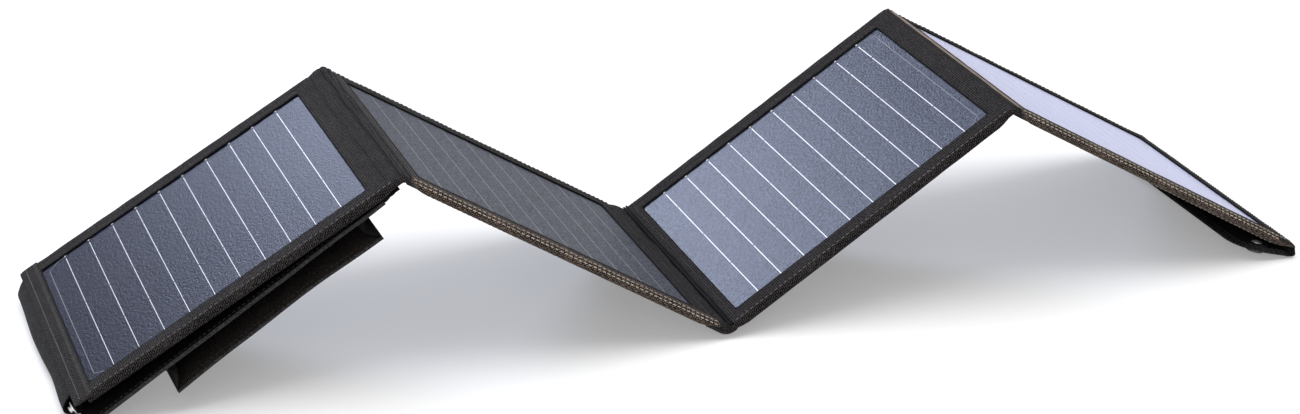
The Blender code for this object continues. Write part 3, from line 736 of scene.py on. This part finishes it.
def window_shadow_cord(number):
    """Thin black cord where the border meets the film, standing in for the shadow gap there as
    painted shade.
    """
    corner = 1.2
    inset = 0.1
    near, far = -HALF_W + inset, HALF_W - inset
    ends = [Vector(end) for end in ((inset, near), (WINDOW_L - inset, near),
                                    (WINDOW_L - inset, far), (inset, far))]
    points = []
    for a, b in zip(ends, ends[1:] + ends[:1]):
        along = (b - a).normalized()
        for k in range(13):
            point = a + along * (corner + ((b - a).length - 2 * corner) * k / 12)
            points.append(PANEL[number].at(point.x, point.y, -0.42))
    points.append(points[0])
    edge_cord = round_tube(f"window_shadow_cord_{number}", points, 0.34, 6)
    finished(edge_cord, BLACK_CORD_AND_SHADOW_LINE, f"panel_{number}")


# ends of the covers and hems beside the folds, from a window's left edge
COVER_LEFT = {1: -2.5, 2: -5.0, 3: -5.0, 4: -5.0}
COVER_RIGHT = {1: 140.0, 2: 140.0, 3: 139.0, 4: 136.5}
HEM_LEFT = {1: -3.2, 2: -6.5, 3: -7.0, 4: -6.5}
HEM_RIGHT = {1: 145.0, 2: 144.0, 3: 141.0, 4: 142.0}
FAR_HEM_LEFT, FAR_HEM_RIGHT = -6.0, 141.5       # the far hems stop short of the ridges


def panel(number):
    """Face, covers and long hems of one panel."""
    flat = PANEL[number]
    body = f"panel_{number}"
    left, right = COVER_LEFT[number], COVER_RIGHT[number]
    solar_face(number)
    window_shadow_cord(number)
    window_border(number, left, right)
    back_sheet(number, left, right)
    start, end = HEM_LEFT[number], HEM_RIGHT[number]
    sides = ((-1, "near", NEAR_CLOTH, NEAR_THREAD), (1, "far", FAR_CLOTH, FAR_THREAD))
    for side, word, hem_cloth, threads in sides:
        if side > 0:
            start, end = max(start, FAR_HEM_LEFT), min(end, FAR_HEM_RIGHT)
        hem_piece(f"{word}_binding_{number}", flat, side * EDGE_V, start, end, side,
                  False, hem_cloth[number], body, [f"{word}_hem_{number}"],
                  thin=(number > 1, True))
        rows = ((1.9, 2.3), (0.5, 2.3)) if number in (2, 4) else ((2.6, 2.5),)
        placed = []
        for across, pitch in rows:
            placed += hem_stitches(flat, side * EDGE_V, start + 1, end - 1, side, across,
                                   pitch)
        v = side * (EDGE_V - 2.6)
        placed += row_of_stitches(flat, (start + 9, v), (end - 9, v), BACK, 2.4)
        sewn(f"{word}_stitching_{number}", placed, 1.6, 0.24, threads[number], body)


def end_band(number):
    """Wide stitched band across one end of the strip."""
    flat = PANEL[number]
    body = f"panel_{number}"
    first = number == 1
    side = -1 if first else 1
    window = 0.0 if first else WINDOW_L
    outer = window + side * 9.1
    reach = EDGE_V - 0.1
    lift = 0.25
    hem_piece(f"end_band_{number}", flat, outer, -reach, reach, side, True,
              CHARCOAL, body, [f"end_hem_{number}"], lift, END_BAND_WIDTH, (True, True),
              0.5 if first else 0.8)
    ladder = row_of_stitches(flat, (window + side * 1.5, -reach + 3),
                             (window + side * 1.5, reach - 3), STITCH_RISE + lift, 1.9,
                             cross=True)
    sewn(f"ladder_stitching_{number}", ladder, 1.7, 0.22,
         THREAD_GREY if first else THREAD_DARK, body)
    placed = hem_stitches(flat, outer, -reach + 1, reach - 1, side, 2.6, 2.2, True, lift,
                          END_BAND_WIDTH)
    sewn(f"end_stitching_{number}", placed, 1.5, 0.24, THREAD_GREY, body)


def border_stitching():
    """Ladder stitches beside panel 1's window and the lines sewn beside panel 2's and 3's."""
    ladder = row_of_stitches(PANEL[1], (136.2, -72), (136.2, 72), 0.10, 1.9, cross=True)
    sewn("ladder_stitching_ridge", ladder, 1.9, 0.22, THREAD_DARK, "panel_1")
    placed = []
    for u in (-2.4, -4.2):
        placed += row_of_stitches(PANEL[2], (u, -73), (u, 73), 0.10, 2.3)
    sewn("border_stitching_2", placed, 1.8, 0.24, THREAD_GREY, "panel_2")
    placed = row_of_stitches(PANEL[3], (-2.2, -73), (-2.2, 73), 0.10, 2.4)
    sewn("border_stitching_3", placed, 1.6, 0.22, THREAD_DARK, "panel_3")


def bar_tack(word, side):
    """Small oval of close stitches that locks the end of panel 4's hem."""
    flat = PANEL[4]
    placed = []
    for i in range(18):
        angle = TURN * i / 18
        du, dv = 2.3 * math.cos(angle), 1.4 * math.sin(angle)
        along = flat.u * -math.sin(angle) * 2.3 + flat.v * math.cos(angle) * 1.4
        placed.append((flat.at(138.6 + du, side * 75.9 + dv, 0.22), along, flat.w))
    sewn(f"bar_tack_{word}", placed, 1.2, 0.24, THREAD_GREY, "panel_4")


for index in (1, 2, 3, 4):
    panel(index)
end_band(1)
end_band(4)
border_stitching()
bar_tack("near", -1)
bar_tack("far", 1)


# ---------------------------------------------------------------- folds between the panels

def crossing(a, along_a, b, along_b):
    """Point where two lines in the vertical plane of the strip meet."""
    gap = b - a
    spread = along_a.x * along_b.z - along_a.z * along_b.x
    reach = (gap.x * along_b.z - gap.z * along_b.x) / spread
    return a + along_a * reach


def bent_path(start, corner, end, radius, steps):
    """Points from start to end past a rounded corner.

    Each comes with its direction and its distance along the path, in mm.
    """
    into = (corner - start).normalized()
    out = (end - corner).normalized()
    turn = into.angle(out)
    cut = radius * MM * math.tan(turn / 2)
    cut = min(cut, (corner - start).length * 0.95, (end - corner).length * 0.95)
    p0, p2 = corner - into * cut, corner + out * cut
    lengths = [(p0 - start).length, 2 * cut * 0.93, (end - p2).length]
    total = sum(lengths)
    found = []
    for i in range(steps + 1):
        run = total * i / steps
        if run <= lengths[0]:
            point = start + into * run
            tangent = into
        elif run <= lengths[0] + lengths[1]:
            t = (run - lengths[0]) / lengths[1]
            point = p0 * (1 - t) ** 2 + corner * 2 * t * (1 - t) + p2 * t * t
            tangent = (into * (1 - t) + out * t).normalized()
        else:
            point = p2 + out * (run - lengths[0] - lengths[1])
            tangent = out
        found.append((point, tangent, run / MM))
    return found


FOLD_LAP = 0.3          # fold cloth over the covers' edges
FOLD_FACE = -0.15       # its upper face from the covers' face
# pleats of each fold's cloth: distance from its left edge, half-width and height
RIDGE_1 = ((2.2, 0.5, -0.6), (5.4, 0.9, 0.45), (8.2, 0.5, -0.9), (9.8, 0.8, 0.5),
           (11.6, 0.5, -0.9), (13.2, 0.8, 0.6), (15.2, 0.5, -0.9), (17.6, 0.8, 0.5),
           (20.6, 0.5, -0.8))
VALLEY = ((1.6, 0.5, -0.6), (8.6, 0.6, -0.9), (10.4, 0.9, 0.9), (12.2, 0.5, -0.8),
          (14.0, 0.9, 0.8), (15.8, 0.5, -0.9), (21.0, 0.5, -0.5))
RIDGE_2 = ((4.2, 0.45, -0.35), (7.0, 0.4, -0.5), (8.9, 0.6, 0.45), (10.2, 0.5, -0.6))


def fold_piece(left, right, pleats, radius, low_radius, bulk, peak):
    """Double cloth over a fold line, pleated along it, closed at both ends."""
    one, two = PANEL[left], PANEL[right]

    def path(w, radius):
        start = one.at(COVER_RIGHT[left] - FOLD_LAP, 0, w)
        end = two.at(COVER_LEFT[right] + FOLD_LAP, 0, w)
        corner = crossing(one.at(0, 0, w), one.u, two.at(0, 0, w), two.u)
        return bent_path(start, corner, end, radius, 64)

    top = path(FOLD_FACE, radius)
    low = path(bulk, low_radius)
    reach = EDGE_V - 0.2
    stations = 60
    sections, coords = [], []
    for i in range(stations + 1):
        v = -reach + 2 * reach * i / stations
        end_gap = min(v + EDGE_V, EDGE_V - v)
        squeeze = min(1.0, math.sqrt(max(0.0, end_gap - 0.1) / 2.2))
        calm = min(1.0, end_gap / (9.0 if v > 0 else 4.0))
        calm = 0.1 + 0.9 * calm * calm * (3 - 2 * calm)
        far = max(0.0, 1 - (EDGE_V - v) / 14) ** 1.5
        ring, row = [], []
        for (upper, tangent, run), (lower, _, _) in zip(top, low):
            normal = Vector((-tangent.z, 0, tangent.x))
            rise = 0.0
            for place, width, amount in pleats:
                drift = wobble((v, place, left * 7), 22.0, 0.7)
                rise += amount * calm * math.exp(-((run - place - drift) / width) ** 2)
            rise += wobble((run * 1.5, v * 0.35, left * 3), 5.0, 0.35) * calm
            rise += wobble((run, v, left), 2.2, 0.10) * calm
            rise += peak * far * math.exp(-((run - top[-1][2] * 0.6) / 6.0) ** 2)
            edge = min(1.0, run / 1.5, (top[-1][2] - run) / 1.5)
            point = upper + normal * rise * max(0.0, edge) * MM
            middle = (upper + lower) / 2
            point = middle + (point - middle) * squeeze
            point.y = v * MM
            if end_gap < 3:
                point.y += wobble((run, left, 1 if v > 0 else 2), 6.0, 0.2) * MM
            ring.append(point)
            row.append((run, v))
        for (upper, _, run), (lower, tangent, _) in zip(reversed(top), reversed(low)):
            soft = wobble((run, v, left + 20), 6.0, 0.3)
            point = lower - Vector((-tangent.z, 0, tangent.x)) * soft * MM
            middle = (upper + lower) / 2
            point = middle + (point - middle) * squeeze
            point.y = v * MM
            ring.append(point)
            row.append((run + 40, v))
        sections.append(ring)
        coords.append(row)
    piece = sweep(f"fold_cloth_{left}{right}", sections, coords)
    finished(piece, CHARCOAL, None,
             [f"spine_{left}{right}_left", f"spine_{left}{right}_right"])
    blend_fold(piece)
    return top


def blend_fold(piece):
    """Bake a piece's placing into its mesh; it is bound to neither panel."""
    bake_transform(piece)


def fold_cord(name, top, runs, left, radius, material, lift):
    """Piping sewn along a fold, at set distances from the left edge of its cloth."""
    reach = EDGE_V - 1.5
    for index, wanted in enumerate(runs):
        point, tangent, _ = min(top, key=lambda item: abs(item[2] - wanted))
        normal = Vector((-tangent.z, 0, tangent.x))
        points = []
        for i in range(64):
            v = -reach + 2 * reach * i / 63
            drift = wobble((v, wanted * 3, left), 24.0, 0.35)
            up = lift + wobble((v, wanted, left + 5), 13.0, 0.15)
            place = point + (tangent * drift + normal * up) * MM
            points.append(Vector((place.x, v * MM, place.z)))
        cord = round_tube(f"{name}_{index + 1}", points, radius)
        finished(cord, material)
        blend_fold(cord)


fold_piece(1, 2, RIDGE_1, 4.0, 2.5, -3.1, 1.5)
TOP_23 = fold_piece(2, 3, VALLEY, 6.0, 7.0, -3.9, 1.6)
TOP_34 = fold_piece(3, 4, RIDGE_2, 3.0, 2.0, -3.1, 0.8)
fold_cord("ridge_cord", TOP_34, (6.2, 7.9), 3, 0.36, TAN_CORD, 0.35)
fold_cord("valley_cord", TOP_23, (9.6, 13.4), 2, 0.5, BLACK_CORD_AND_SHADOW_LINE, 0.4)


LEAD_ENDS = (73.0, 61.0)      # where a lead meets its caps, along the two panels
LEAD_LEVELS = (-2.8, -2.5)    # under and upper face
LEAD_MIDDLE_V = 42.0          # place of a lead along the folds
LEAD_HALF = 4.0               # half of its width


def fold_lead(left, right, radius):
    """Flat lead from cap to cap, curving with the fold."""
    one, two = PANEL[left], PANEL[right]
    low, high = LEAD_LEVELS
    paths = []
    for w in (high, low):
        corner = crossing(one.at(0, 0, w), one.u, two.at(0, 0, w), two.u)
        paths.append(bent_path(one.at(LEAD_ENDS[0], 0, w), corner, two.at(LEAD_ENDS[1], 0, w),
                               radius, 120))
    sections, coords = [], []
    for (upper, _, run), (lower, _, _) in zip(*paths):
        ring = []
        for point, v in ((upper, -1), (upper, 1), (lower, 1), (lower, -1)):
            place = point.copy()
            place.y = (LEAD_MIDDLE_V + v * LEAD_HALF) * MM
            ring.append(place)
        sections.append(ring)
        coords.append([(run, j * 2.0) for j in range(4)])
    piece = sweep(f"ribbon_lead_{left}{right}", sections, coords)
    finished(piece, COPPER, None, [f"lead_{left}{right}"])
    blend_fold(piece)


for left, right, radius in ((1, 2, 3.0), (2, 3, 6.0), (3, 4, 2.5)):
    fold_lead(left, right, radius)


# ---------------------------------------------------------------- pocket and pouch

POCKET_LOW, POCKET_HIGH = POCKET.extent("pocket_panel")
POUCH_LOW, POUCH_HIGH = POCKET.extent("pouch_panel")
WALL_FOOT = 1.4         # side wall's seam, in from the pocket's edge
WALL_TOP = (-8.5, -2.0)     # and where it leaves panel 1's end band, in u and w
WALL_BULGE = 6.6
WEDGE_TOP = -3.9        # height where the far wall leaves panel 1's back
POUCH_DROP = 2.5        # how far the pouch's mouth hangs towards the pocket
PLEAT_DEPTH = 5.4       # of the pouch's side pleats


def pocket_sheet():
    """Back of the pocket, stretched and a little wavy at its mouth."""
    x0, y0 = POCKET_LOW[:2]
    x1, y1, top = POCKET_HIGH

    def place(s, t):
        x = between(x0, x1, s)
        y = between(y0, y1, t)
        near = max(0.0, 1 - t * 5)
        sag = 0.5 * math.sin(math.pi * s) * math.sin(math.pi * t)
        wave = wobble((x, 0, 4), 24.0, 0.9) * near * math.sin(math.pi * min(1, s * 1.2))
        return POCKET.at(x, y, top + min(0.0, wave) * 0.4 - sag * 0.3)

    def coord(s, t):
        return (x1 - x0) * s, (y1 - y0) * t

    piece = cloth("pocket_back_cloth", 60, 40, place, coord, 0.8)
    # the pocket's back takes the darker cloth, painted shade under panel 1
    finished(piece, SHADE_CLOTH, "pocket", ["pocket_panel"])


def pocket_edge():
    """Piping and stitching along the pocket's mouth."""
    low, high = POCKET.extent("pocket_piping")
    middle_v = (low[1] + high[1]) / 2
    middle_w = (low[2] + high[2]) / 2
    points = []
    for i in range(61):
        x = low[0] + (high[0] - low[0]) * i / 60
        points.append(POCKET.at(x, middle_v + wobble((x, 1, 1), 20.0, 0.3),
                                middle_w + 0.15 + wobble((x, 5, 1), 18.0, 0.25)))
    cord = round_tube("pocket_mouth_piping", points, 0.8, 10)
    finished(cord, PIPING, "pocket", ["pocket_piping"])
    placed = row_of_stitches(POCKET, (POCKET_LOW[0] + 2, middle_v + 3.2),
                             (POCKET_HIGH[0] - 2, middle_v + 3.2), POCKET_HIGH[2] + 0.1, 2.4)
    sewn("pocket_mouth_stitching", placed, 1.7, 0.24, THREAD_DARK, "pocket")


def side_gusset():
    """Soft wall that bellies out between the end band and the pocket's edge."""
    flat = PANEL[1]
    low, high = flat.extent("pocket_side_gusset")
    v0, v1 = low[1], high[1]
    foot = POCKET.at(POCKET_LOW[0] + WALL_FOOT, 0, POCKET_HIGH[2])
    seam = flat.local(foot)
    start, end = Vector(WALL_TOP), Vector((seam.x + 0.4, seam.z + 0.1))

    def place(s, t):
        v = between(v0, v1, s)
        middle = start.lerp(end, t)
        belly = WALL_BULGE * (math.sin(math.pi * t) ** 0.7)
        belly *= 0.97 + 0.07 * math.sin(v / 26.0 + 0.6) + wobble((v, t * 6, 3), 38.0, 0.08)
        belly *= math.sqrt(1 - (1 - min(1.0, 0.02 + (v1 - v) / 5.0)) ** 2)
        fold = wobble((v * 0.25, t * 9, 8), 7.0, 0.5)
        return flat.at(middle.x - belly - fold * math.sin(math.pi * t), v, middle.y)

    def coord(s, t):
        return (v1 - v0) * s, 13 * t

    piece = cloth("pocket_side_wall", 70, 16, place, coord, 0.7, 0.0)
    finished(piece, GUSSET_CLOTH, None, ["pocket_side_gusset"])
    top = flat.at(-8.4, 0, -2.6)
    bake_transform(piece)


def far_gusset():
    """Wedge of cloth that closes the pocket's far side."""
    flat = PANEL[1]
    low, high = flat.extent("pocket_far_gusset")
    foot_left = flat.local(POCKET.at(POCKET_LOW[0] + 1.5, 0, POCKET_HIGH[2])).z
    foot_right = flat.local(POCKET.at(0, 0, POCKET_HIGH[2])).z

    def place(s, t):
        u = between(low[0], high[0], s)
        base = between(foot_left, foot_right, s)
        w = between(WEDGE_TOP, base, t)
        deep = abs(base - WEDGE_TOP)
        tuck = -0.32 * deep * math.sin(math.pi * t) + wobble((u, t * 5, 2), 14.0, 0.4)
        return flat.at(u, high[1] - 0.5 + min(0.4, tuck), w)

    def coord(s, t):
        return (high[0] - low[0]) * s, 8 * t

    piece = cloth("pocket_far_wall", 50, 10, place, coord, 0.6, 0.0)
    finished(piece, GUSSET_CLOTH, None, ["pocket_far_gusset"])
    middle = (low[0] + high[0]) / 2
    flat.at(middle, 0, -4.1)
    flat.at(middle, 0, foot_left + 0.3)
    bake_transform(piece)


def pouch():
    """Small pouch on the pocket: front, pleated sides, far side and corded mouth."""
    x0, y0 = POUCH_LOW[:2]
    x1, y1, top = POUCH_HIGH
    roof = POCKET.extent("pouch_left_gusset")[1][2]

    def drop(t):
        return POUCH_DROP * max(0.0, 1 - t / 0.45) ** 2

    def place(s, t):
        x = between(x0, x1, s)
        y = between(y0, y1, t)
        near = max(0.0, 1 - t * 4)
        wave = wobble((x, 2, 9), 26.0, 1.5) * near * math.sin(math.pi * s)
        slack = 0.9 * math.sin(math.pi * s) * near
        height = top + wave * 0.5 + slack - drop(t)
        return POCKET.at(x, y + wobble((x, 7, 7), 30.0, 1.0) * near, height)

    def coord(s, t):
        return (x1 - x0) * s, (y1 - y0) * t

    front = cloth("pouch_cloth", 56, 44, place, coord, 0.8)
    # the pouch's sheet takes the painted-sheen copy of the cloth
    finished(front, POUCH_SHEEN_CLOTH, "pocket", ["pouch_panel"])

    for word, edge, turn in (("left", x0 + 0.5, 1), ("right", x1 - 0.5, -1)):

        def pleat(s, t, edge=edge, turn=turn):
            y = y0 + 0.3 + (y1 - y0 - 1.2) * s
            w = top + 0.2 - drop(s) + (roof - top - 0.1 + drop(s)) * t
            fold = 1 - abs(2 * t - 1)
            deep = PLEAT_DEPTH * fold ** 0.8 * (0.75 + 0.25 * min(1, s * 6))
            crease = wobble((y, t * 4, edge), 12.0, 0.5) * math.sin(math.pi * t)
            return POCKET.at(edge + turn * (deep + crease), y, w)

        wall = cloth(f"pouch_{word}_pleat", 50, 12, pleat,
                     lambda s, t: ((y1 - y0) * s, 11 * t), 0.6, 0.0)
        finished(wall, GUSSET_CLOTH, "pocket", [f"pouch_{word}_gusset"])

    def far_side(s, t):
        x = between(x0, x1, s)
        w = top + 0.2 + (roof - top - 0.1) * t
        belly = 0.8 * math.sin(math.pi * t) + wobble((x, t * 4, 31), 15.0, 0.5)
        return POCKET.at(x, y1 - 0.9 + max(-0.5, belly), w)

    wall = cloth("pouch_far_wall", 50, 10, far_side, lambda s, t: ((x1 - x0) * s, 10 * t),
                 0.6, 0.0)
    finished(wall, GUSSET_CLOTH, "pocket", ["pouch_far_gusset"])

    points = [place(i / 48, 0.0) - POCKET.w * 0.4 * MM for i in range(49)]
    lip = round_tube("pouch_mouth_piping", points, 0.75)
    finished(lip, PIPING, "pocket")
    placed = []
    pitch = 2.4
    for i in range(int((x1 - x0 - 6) / pitch)):
        share = (3 + pitch * (i + 0.5)) / (x1 - x0)
        outer = place(share, 3.4 / (y1 - y0)) + POCKET.w * 0.1 * MM
        for point in (outer, outer - POCKET.w * MM):
            placed.append((point, POCKET.u, POCKET.w))
    sewn("pouch_mouth_stitching", placed, 1.7, 0.24, THREAD_DARK, "pocket")


def seam_tail():
    """Pocket cloth gathered into the seam at the near end of the left ridge."""
    sections, coords = [], []
    start, length = 131.0, 14.0
    for i in range(27):
        share = i / 26
        u = start + length * share
        depth = 2.1 * (1 - share) ** 0.7 + 0.5
        ring, row = [], []
        for j in range(12):
            angle = TURN * j / 12
            v = -COVER_V - 4.6 * math.cos(angle) + wobble((u, angle, 4), 3.0, 0.8)
            w = -4.2 + 0.4 * share - depth / 2 + depth / 2 * math.sin(angle)
            ring.append(PANEL[1].at(u, v, w + wobble((u * 1.5, j, 9), 4.0, 0.5)))
            row.append((u, v))
        sections.append(ring)
        coords.append(row)
    piece = sweep("pocket_seam_tail", sections, coords)
    finished(piece, CHARCOAL, "panel_1")


seam_tail()
pocket_sheet()
pocket_edge()
side_gusset()
far_gusset()
pouch()


# ---------------------------------------------------------------- closing flap and snaps

FLAP_LOW, FLAP_HIGH = FLAP.extent("closing_flap")
FLAP_CORNER = 15.0
# how far in from the flap's outline, and the half-thickness there
FLAP_EDGE = ((0.0, 0.0), (0.5, 0.62), (1.4, 0.78), (2.6, 0.70), (3.4, 0.48), (6.0, 0.55))


def flap_outline(inset, steps=12):
    """Outline of the flap in its own u and v, from the root's near end to its far end."""
    if FLAP_HIGH[0] > -FLAP_LOW[0]:
        root, tip = FLAP_LOW[0], FLAP_HIGH[0] - inset
    else:
        root, tip = FLAP_HIGH[0], FLAP_LOW[0] + inset
    turn = 1 if tip > root else -1
    half = FLAP_HIGH[1] - inset
    radius = FLAP_CORNER - inset
    points = [(root, -half)]
    for side, first in ((-1, -math.pi / 2), (1, 0.0)):
        for i in range(steps + 1):
            angle = first + math.pi / 2 * i / steps
            points.append((tip - turn * radius + turn * radius * math.cos(angle),
                           side * (half - radius) + radius * math.sin(angle)))
    points.append((root, half))
    return points


def flap_piece():
    """Flap of two cloths with a turned and stitched edge, in the place of its solid."""
    rows = [flap_outline(inset) for inset, _ in FLAP_EDGE]
    verts, coords, faces = [], [], []
    for side in (1, -1):
        for points, (_, w) in zip(rows, FLAP_EDGE):
            for u, v in points:
                soft = wobble((u, v, side), 14.0, 0.15) if w > 0.3 else 0
                verts.append(FLAP.at(u, v, side * (w + soft)))
                coords.append((u, v))
    count = len(rows[0])
    for base in (0, len(rows) * count):
        for i in range(len(rows) - 1):
            for j in range(count - 1):
                a = base + i * count + j
                faces.append((a, a + 1, a + 1 + count, a + count))
        last = base + (len(rows) - 1) * count
        for j in range(count // 2 - 1):
            faces.append((last + j, last + j + 1, last + count - 2 - j, last + count - 1 - j))
    piece = mesh_piece("flap_cloth", verts, faces, coords)
    choose(piece)
    bpy.ops.object.mode_set(mode="EDIT")
    bpy.ops.mesh.select_all(action="SELECT")
    bpy.ops.mesh.remove_doubles(threshold=DOUBLES)
    bpy.ops.mesh.select_all(action="DESELECT")
    bpy.ops.mesh.select_non_manifold(extend=False, use_boundary=True)
    bpy.ops.mesh.edge_face_add()
    bpy.ops.object.mode_set(mode="OBJECT")
    outward(piece)
    smooth(piece, 60)
    finished(piece, CHARCOAL, "flap", ["closing_flap"])
    placed = []
    pitch = 2.5
    for inset in (2.0, 4.2):
        path = [Vector(point) for point in flap_outline(inset, 10)]
        carry = 0.0
        for a, b in zip(path, path[1:]):
            run = (b - a).length
            along = FLAP.u * (b - a).x + FLAP.v * (b - a).y
            while carry < run:
                point = a.lerp(b, carry / run)
                for side in (1, -1):
                    placed.append((FLAP.at(point.x, point.y, side * 0.72), along,
                                   FLAP.w * side))
                carry += pitch
            carry -= run
    sewn("flap_stitching", placed, 1.7, 0.24, THREAD_GREY, "flap")


def spun(name, profile, middle, axis, material, body, stands_for=()):
    """Turned metal part from (radius, height) in mm about an axis in the frame."""
    data = bpy.data.meshes.new(name)
    data.from_pydata([(r * MM, 0, h * MM) for r, h in profile],
                     [(i, i + 1) for i in range(len(profile) - 1)], [])
    obj = bpy.data.objects.new(name, data)
    bpy.context.scene.collection.objects.link(obj)
    choose(obj)
    bpy.ops.object.mode_set(mode="EDIT")
    bpy.ops.mesh.select_all(action="SELECT")
    bpy.ops.mesh.spin(steps=32, angle=TURN, center=(0, 0, 0), axis=(0, 0, 1))
    bpy.ops.object.mode_set(mode="OBJECT")
    outward(obj, merge=True)
    turn = Vector((0, 0, 1)).rotation_difference(axis).to_matrix().to_4x4()
    obj.data.transform(Matrix.Translation(middle) @ turn)
    smooth(obj, 35)
    finished(obj, material, body, stands_for)


# profiles of the turned parts: radius and height
SNAP_PROFILE = ((0, -1.3), (2.45, -1.3), (2.6, -1.55), (3.8, -1.6), (4.6, -1.42),
                (4.95, -1.15), (4.9, -0.95), (1.3, -0.9), (1.3, 0.9), (3.6, 0.9),
                (3.85, 1.1), (3.85, 2.2), (3.5, 2.5), (2.9, 2.5), (2.5, 2.2), (1.9, 2.1),
                (1.7, 1.4), (0, 1.35))
EYE_PROFILE = ((0, -1.5), (0.8, -1.55), (1.1, -1.9), (1.8, -1.95), (2.3, -1.65), (2.4, -1.32),
               (0, -1.25))
STUD_PROFILE = ((0, 0.02), (2.75, 0.02), (2.9, 0.2), (2.7, 0.5), (1.6, 0.62), (1.3, 0.8),
                (1.2, 1.3), (1.45, 1.7), (1.4, 2.0), (1.0, 2.15), (0, 2.2))


def flap_hinge():
    """Cloth that carries the flap on from the end band, folded round its axis."""
    band = PANEL[4]
    axis = joint_place("flap_fold")
    turn = 1 if FLAP_HIGH[0] > -FLAP_LOW[0] else -1
    root = (FLAP_LOW[0] if turn > 0 else FLAP_HIGH[0]) + turn * 1.6
    lower, upper = sorted((FLAP.at(root, 0, w) for w in (0.62, -0.62)),
                          key=lambda point: point.z)
    loop = [band.at(143.0, 0, -0.9)]
    loop += [axis + Vector((x, 0, z)) * MM
             for x, z in ((0.9, 2.8), (1.1, 1.0), (0.8, 0.1), (-0.6, -0.1))]
    loop += [lower, upper, axis + Vector((-0.9, 0, 1.2)) * MM, band.at(142.2, 0, -3.0)]
    half = 78.4
    sections, coords = [], []
    for i in range(61):
        v = -half + 2 * half * i / 60
        ring = []
        for j, point in enumerate(loop):
            place = point.copy()
            place.y = v * MM
            if 0 < j < 4:
                place.x += wobble((v, j, 6), 12.0, 0.15) * MM
            ring.append(place)
        sections.append(ring)
        coords.append([(v, j * 1.4) for j in range(len(loop))])
    piece = sweep("flap_hinge_cloth", sections, coords)
    finished(piece, CHARCOAL)
    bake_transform(piece)


def snaps():
    """Two snaps on the flap, each with its eye, and their studs on panel 1's end."""
    for word in ("near", "far"):
        low, high = FLAP.extent(f"snap_fastener_{word}")
        middle = FLAP.at((low[0] + high[0]) / 2, (low[1] + high[1]) / 2, 0)
        spun(f"snap_{word}", SNAP_PROFILE, middle, FLAP.w, DARK_NICKEL, "flap",
             [f"snap_fastener_{word}"])
        spun(f"snap_eye_{word}", EYE_PROFILE, middle, FLAP.w, NICKEL, "flap")
        low, high = PANEL[1].extent(f"snap_stud_{word}")
        middle = PANEL[1].at(high[0], (low[1] + high[1]) / 2, (low[2] + high[2]) / 2)
        spun(f"stud_{word}", STUD_PROFILE, middle, -PANEL[1].u, NICKEL, "panel_1",
             [f"snap_stud_{word}"])


flap_piece()
flap_hinge()
snaps()


# ---------------------------------------------------------------- carried-over solids

CARRIED = {
    "stiffener_board_": BOARD, "terminal_cap_": PLASTIC,
    "controller_lid": PLASTIC, "controller_tray": PLASTIC, "controller_board": CIRCUIT,
    "usb_socket_": STEEL, "status_lens": LENS,
}
for name, obj in frame["nodes"].items():
    for start, material in CARRIED.items():
        if name.startswith(start):
            obj.data.materials.clear()
            obj.data.materials.append(material)


# ---------------------------------------------------------------- floor, light and camera


deselect()
bpy.ops.mesh.primitive_plane_add(size=40, location=(0, 0, -0.0006))
floor = bpy.context.active_object
floor.name = "floor"
pale, _, surface = shader("pale_floor")
fill(surface, {"Base Color": (0.70, 0.70, 0.70, 1), "Roughness": 0.9,
               "Emission Color": (1, 1, 1, 1), "Emission Strength": 0.28})
floor.data.materials.append(pale)


def soft_box(name, place, aim, size, power, colour=(1, 1, 1)):
    """Rectangular lamp at a place, turned to a point; size in metres, power in watts."""
    data = bpy.data.lights.new(name, "AREA")
    data.shape = "RECTANGLE"
    data.size, data.size_y = size
    data.energy = power
    data.color = colour
    lamp = bpy.data.objects.new(name, data)
    bpy.context.scene.collection.objects.link(lamp)
    lamp.location = place
    lamp.rotation_mode = "QUATERNION"
    lamp.rotation_quaternion = (Vector(aim) - Vector(place)).to_track_quat("-Z", "Y")


soft_box("overhead", (0.0, -0.2, 2.4), (0, 0, 0), (3.0, 2.4), 52)
soft_box("front_fill", (-0.9, -2.4, 1.2), (0, 0, 0.03), (1.6, 1.2), 12)
soft_box("panel_glow", (-0.40, 1.8, 0.80), (0, 0, 0.05), (0.34, 0.30), 19, (0.67, 0.75, 1.0))

world = bpy.data.worlds.new("studio")
bpy.context.scene.world = world
world.use_nodes = True
fill(world.node_tree.nodes["Background"], {"Color": (1, 1, 1, 1), "Strength": 0.5})

CAMERA_PLACE = (-0.41750753, -1.41701321, 0.55958746)
CAMERA_RIGHT = Vector((0.95590979, -0.29191512, -0.03196943))
CAMERA_AHEAD = Vector((0.26478736, 0.90387464, -0.33600342))
CAMERA_UP = Vector((0.12698084, 0.31272385, 0.94131804))
lens = bpy.data.cameras.new("camera")
lens.sensor_width = 36.0
lens.lens = 100.8291
camera = bpy.data.objects.new("camera", lens)
bpy.context.scene.collection.objects.link(camera)
camera.matrix_world = Matrix.Translation(CAMERA_PLACE) @ Matrix((
    CAMERA_RIGHT, CAMERA_UP, -CAMERA_AHEAD)).transposed().to_4x4()
bpy.context.scene.camera = camera
bpy.context.scene.view_settings.view_transform = "Standard"
